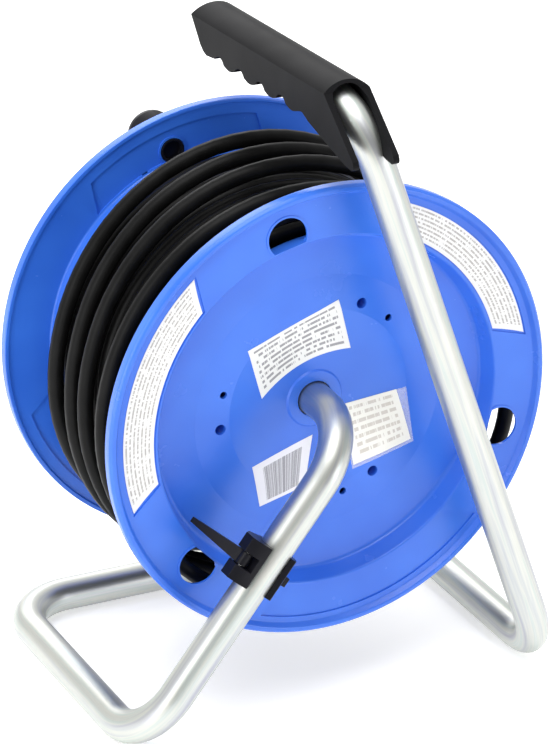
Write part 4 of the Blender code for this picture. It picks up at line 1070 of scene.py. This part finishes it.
def make_insert(index, angle):
    """Socket cup, shaped round its own axis and then put in its seat."""
    local = Matrix()
    top = COLLAR_OUT - 0.5 * MM
    floor = top - 17.5 * MM
    under = floor - 3.0 * MM
    profile = [(0.0, floor), (19.2 * MM, floor), (19.6 * MM, floor + 0.4 * MM), (19.6 * MM, top - 0.6 * MM),
               (20.2 * MM, top), (22.0 * MM, top), (22.0 * MM, under), (0.0, under)]
    insert = lathe(f"socket_cup_{index}", profile, BLACK, local, 72)
    tools = []
    for side in (-1, 1):
        pin = local @ Matrix.Translation((side * PIN_OFFSET, 0.0, 0.0))
        tools.append(disc("pin_hole", 2.6 * MM, under - 2 * MM, floor + 2 * MM, pin, 28))
        near, far = sorted((side * 16.6 * MM, side * 18.6 * MM))
        tools.append(box_piece("slot", (-2.7 * MM, near, under - 2 * MM),
                               (2.7 * MM, far, floor + 2 * MM), local))
    cut(insert, *tools)
    insert.data.transform(socket_seat(angle))
    soften(insert, 0.25 * MM, 2, 40.0)
    add_piece(insert, "drum", "black_plastic", f"socket_insert_{index}")


def make_lid(index, angle):
    """Closed lid, shaped round its socket's axis and then put in its seat."""
    local = Matrix()
    low = COLLAR_OUT + 0.4 * MM
    crown = low + 2.4 * MM
    lid_r = 25.6 * MM
    profile = [(0.0, crown + 1.0 * MM), (9.0 * MM, crown + 0.95 * MM), (17.4 * MM, crown + 0.6 * MM),
               (17.9 * MM, crown + 0.1 * MM), (18.9 * MM, crown + 0.05 * MM), (19.4 * MM, crown + 0.45 * MM),
               (lid_r - 1.4 * MM, crown), (lid_r - 0.4 * MM, crown - 0.5 * MM), (lid_r, crown - 1.4 * MM),
               (lid_r, low), (0.0, low)]
    lid = lathe(f"lid_{index}_cap", profile, PANEL_BLACK, local, 96)
    tongue = [(-lid_r - 4 * MM, -5.5 * MM), (-lid_r + 3 * MM, -8 * MM), (-lid_r + 3 * MM, 8 * MM),
              (-lid_r - 4 * MM, 5.5 * MM), (-lid_r - 4.2 * MM, 0.0)]
    arm_low, arm_high = -7.6 * MM, 1.2 * MM
    near, far = (lid_r - 4 * MM, arm_low, low), (LID_HINGE, arm_high, crown - 0.3 * MM)
    tools = [prism("tab", tongue, low, crown - 0.4 * MM, local),
             box_piece("arm", near, far, local),
             disc("barrel", 2.7 * MM, arm_low, arm_high, HINGE, 32)]
    for rib in range(4):
        x = -lid_r - (3.2 - 1.3 * rib) * MM
        tools.append(box_piece("rib", (x, -4.6 * MM, crown - 0.8 * MM),
                               (x + 0.6 * MM, 4.6 * MM, crown + 0.1 * MM), local))
    join(lid, *tools)
    cut(lid, disc("bore", 1.6 * MM, -14 * MM, 14 * MM, HINGE, 24))
    lid.data.transform(socket_seat(angle))
    soften(lid, 0.3 * MM, 2, 40.0)
    add_piece(lid, f"lid_{index}", "black_plastic", f"socket_lid_{index}")


def make_cutout():
    top = PANEL_OUT + 2.5 * MM
    bore = 5.4 * MM
    well, low = PANEL_OUT - 11 * MM, PANEL_OUT - 20 * MM
    under = PANEL_OUT + 0.3 * MM
    profile = [(0.0, well), (bore, well), (bore, top - 0.4 * MM), (bore + 0.4 * MM, top), (12.2 * MM, top),
               (13.0 * MM, top - 0.8 * MM), (13.0 * MM, under), (10.6 * MM, under), (10.6 * MM, low),
               (0.0, low)]
    add_piece(lathe("cutout_housing", profile, BLACK, FRONT, 64), "drum", "black_plastic", "thermal_cutout")
    radius = bore - 0.3 * MM
    profile = [(0.0, top + 3 * MM), (radius * 0.6, top + 2.9 * MM), (radius * 0.86, top + 2.5 * MM),
               (radius, top + 1.6 * MM), (radius, PANEL_OUT - 5 * MM), (0.0, PANEL_OUT - 5 * MM)]
    add_piece(lathe("reset_cap", profile, RED, FRONT, 48), "button", "button_red", "reset_button")


def make_crank():
    seat = drum_frame(-1, CRANK_ANGLE, CRANK_CENTRE, FRONT_Y)
    profile = [(5.9, -0.6, 0.0), (12.6, -0.6, 0.6), (13.4, 2.0, 1.5), (12.6, 8.0, 8.0), (12.8, 14.0, 12.0),
               (14.4, 21.0, 8.0), (15.3, 26.0, 3.0), (14.8, 29.2, 1.6), (12.8, 30.7, 1.0), (7.4, 30.7, 0.4),
               (7.4, 23.6, 0.0), (5.9, 23.6, 0.0)]
    knob = lathe("crank_handle", profile_mm(profile), BLACK, seat, 72)
    soften(knob, 0.3 * MM, 2, 35.0)
    add_piece(knob, "knob", "black_plastic", "crank_knob")


def refine_node(node, body, material, slot, bevel):
    """Copy of a small node with flat facets merged, edges rounded and round faces shaded smooth."""
    source = frame["nodes"][node]
    obj = new_object(node + "_fine", source.data.copy(), material)
    bm = bmesh.new()
    bm.from_mesh(obj.data)
    bmesh.ops.remove_doubles(bm, verts=bm.verts, dist=1e-6)
    bmesh.ops.dissolve_limit(bm, angle_limit=math.radians(1.0), verts=bm.verts, edges=bm.edges)
    bm.to_mesh(obj.data)
    bm.free()
    soften(obj, bevel, 2, 40.0)
    add_piece(obj, body, slot, node, angle=40.0)


def paint_nodes():
    """Every CAD node that stays visible gets the fine material of its slot."""
    slots = {part["node"]: part["material_slot"] for part in frame["record"]["subparts"]}
    for node, obj in frame["nodes"].items():
        obj.data.materials.clear()
        obj.data.materials.append(SLOT_FINISH[slots[node]])
        smooth(obj.data, 40.0)


# ---- light, floor and camera ----
PHOTO_LONG_SIDE = 744
CAMERA_AZIMUTH = 153.03
CAMERA_ELEVATION = 24.552
CAMERA_ROLL = 1.11
CAMERA_DISTANCE = 2.18867
CAMERA_TARGET = Vector((0.07941, 0.178585, 0.266747))
FOCAL_PIXELS = 3928.1
PRINCIPAL_OFFSET = (21.3, 16.33)


def make_camera():
    azimuth = math.radians(CAMERA_AZIMUTH)
    elevation = math.radians(CAMERA_ELEVATION)
    roll = math.radians(CAMERA_ROLL)
    back = Vector((math.sin(azimuth) * math.cos(elevation), -math.cos(azimuth) * math.cos(elevation),
                   math.sin(elevation)))
    level = Vector((math.cos(azimuth), math.sin(azimuth), 0.0))
    upright = back.cross(level)
    right = level * math.cos(roll) + upright * math.sin(roll)
    up = upright * math.cos(roll) - level * math.sin(roll)
    data = bpy.data.cameras.new("camera")
    data.sensor_width = 36.0
    data.lens = FOCAL_PIXELS / PHOTO_LONG_SIDE * data.sensor_width
    data.shift_x = -PRINCIPAL_OFFSET[0] / PHOTO_LONG_SIDE
    data.shift_y = PRINCIPAL_OFFSET[1] / PHOTO_LONG_SIDE
    data.clip_end = 50.0
    camera = bpy.data.objects.new("camera", data)
    bpy.context.scene.collection.objects.link(camera)
    camera.matrix_world = axes(right, up, back, CAMERA_TARGET + back * CAMERA_DISTANCE)
    bpy.context.scene.camera = camera


def area_light(name, location, target, size, power, color=(1.0, 1.0, 1.0)):
    data = bpy.data.lights.new(name, "AREA")
    data.shape = "RECTANGLE"
    data.size, data.size_y = size
    data.energy = power
    data.color = color
    light = bpy.data.objects.new(name, data)
    bpy.context.scene.collection.objects.link(light)
    light.location = location
    light.rotation_euler = (Vector(target) - Vector(location)).to_track_quat("-Z", "Y").to_euler()


def make_studio():
    """White room, dimmer behind the +Y side, with four soft lights over a white floor."""
    world = bpy.data.worlds.new("studio")
    world.use_nodes = True
    nodes = world.node_tree.nodes
    links = world.node_tree.links
    background = nodes["Background"]
    where = nodes.new("ShaderNodeTexCoord")
    split = nodes.new("ShaderNodeSeparateXYZ")
    fade = nodes.new("ShaderNodeMapRange")
    links.new(where.outputs["Generated"], split.inputs["Vector"])
    links.new(split.outputs["Y"], fade.inputs["Value"])
    set_inputs(fade, From_Min=-0.1, From_Max=0.7, To_Min=1.0, To_Max=0.42)
    links.new(fade.outputs["Result"], background.inputs["Strength"])
    set_inputs(background, Color=(1.0, 1.0, 1.0, 1.0))
    bpy.context.scene.world = world
    bpy.context.scene.view_settings.view_transform = "Standard"
    middle = (0.0, 0.0, HUB_Z)
    area_light("top", (0.3, 0.4, 2.0), middle, (1.5, 1.5), 26.0)
    area_light("left", (1.9, 0.7, 0.6), middle, (0.6, 1.5), 14.0)
    area_light("right_low", (-1.1, 1.7, 0.25), middle, (0.5, 0.4), 5.0, (0.93, 0.92, 1.0))
    area_light("front_fill", (-0.2, -1.8, 1.3), middle, (1.4, 1.2), 12.0)
    floor = Finish("studio_floor", (0.96, 0.96, 0.96), 0.6)
    set_inputs(floor.shader, Emission_Color=(1.0, 1.0, 1.0, 1.0), Emission_Strength=0.42)
    floor.roughness_from(floor.remap(floor.noise(floor.place(), 6.0), 0.55, 0.7))
    extent = 12.0
    outline = [(-extent, -extent), (extent, -extent), (extent, extent), (-extent, extent)]
    prism("floor", outline, -0.02, -0.0005, Matrix(), floor.material)


# ---- assembly ----
make_camera()
make_studio()
paint_nodes()
make_tube()
make_grip()
make_stop()
make_back_flange()
make_front_flange()
make_stickers()
plug_pieces = make_plug()
cable, cable_exit = make_cable()
make_panel()
for number, socket_angle in enumerate(SOCKET_ANGLES, 1):
    make_insert(number, socket_angle)
    make_lid(number, socket_angle)
make_cutout()
make_crank()
refine_node("knob_axle", "drum", BLACK, "black_plastic", 0.3 * MM)
refine_node("terminal_block", "drum", NYLON, "white_nylon", 0.2 * MM)
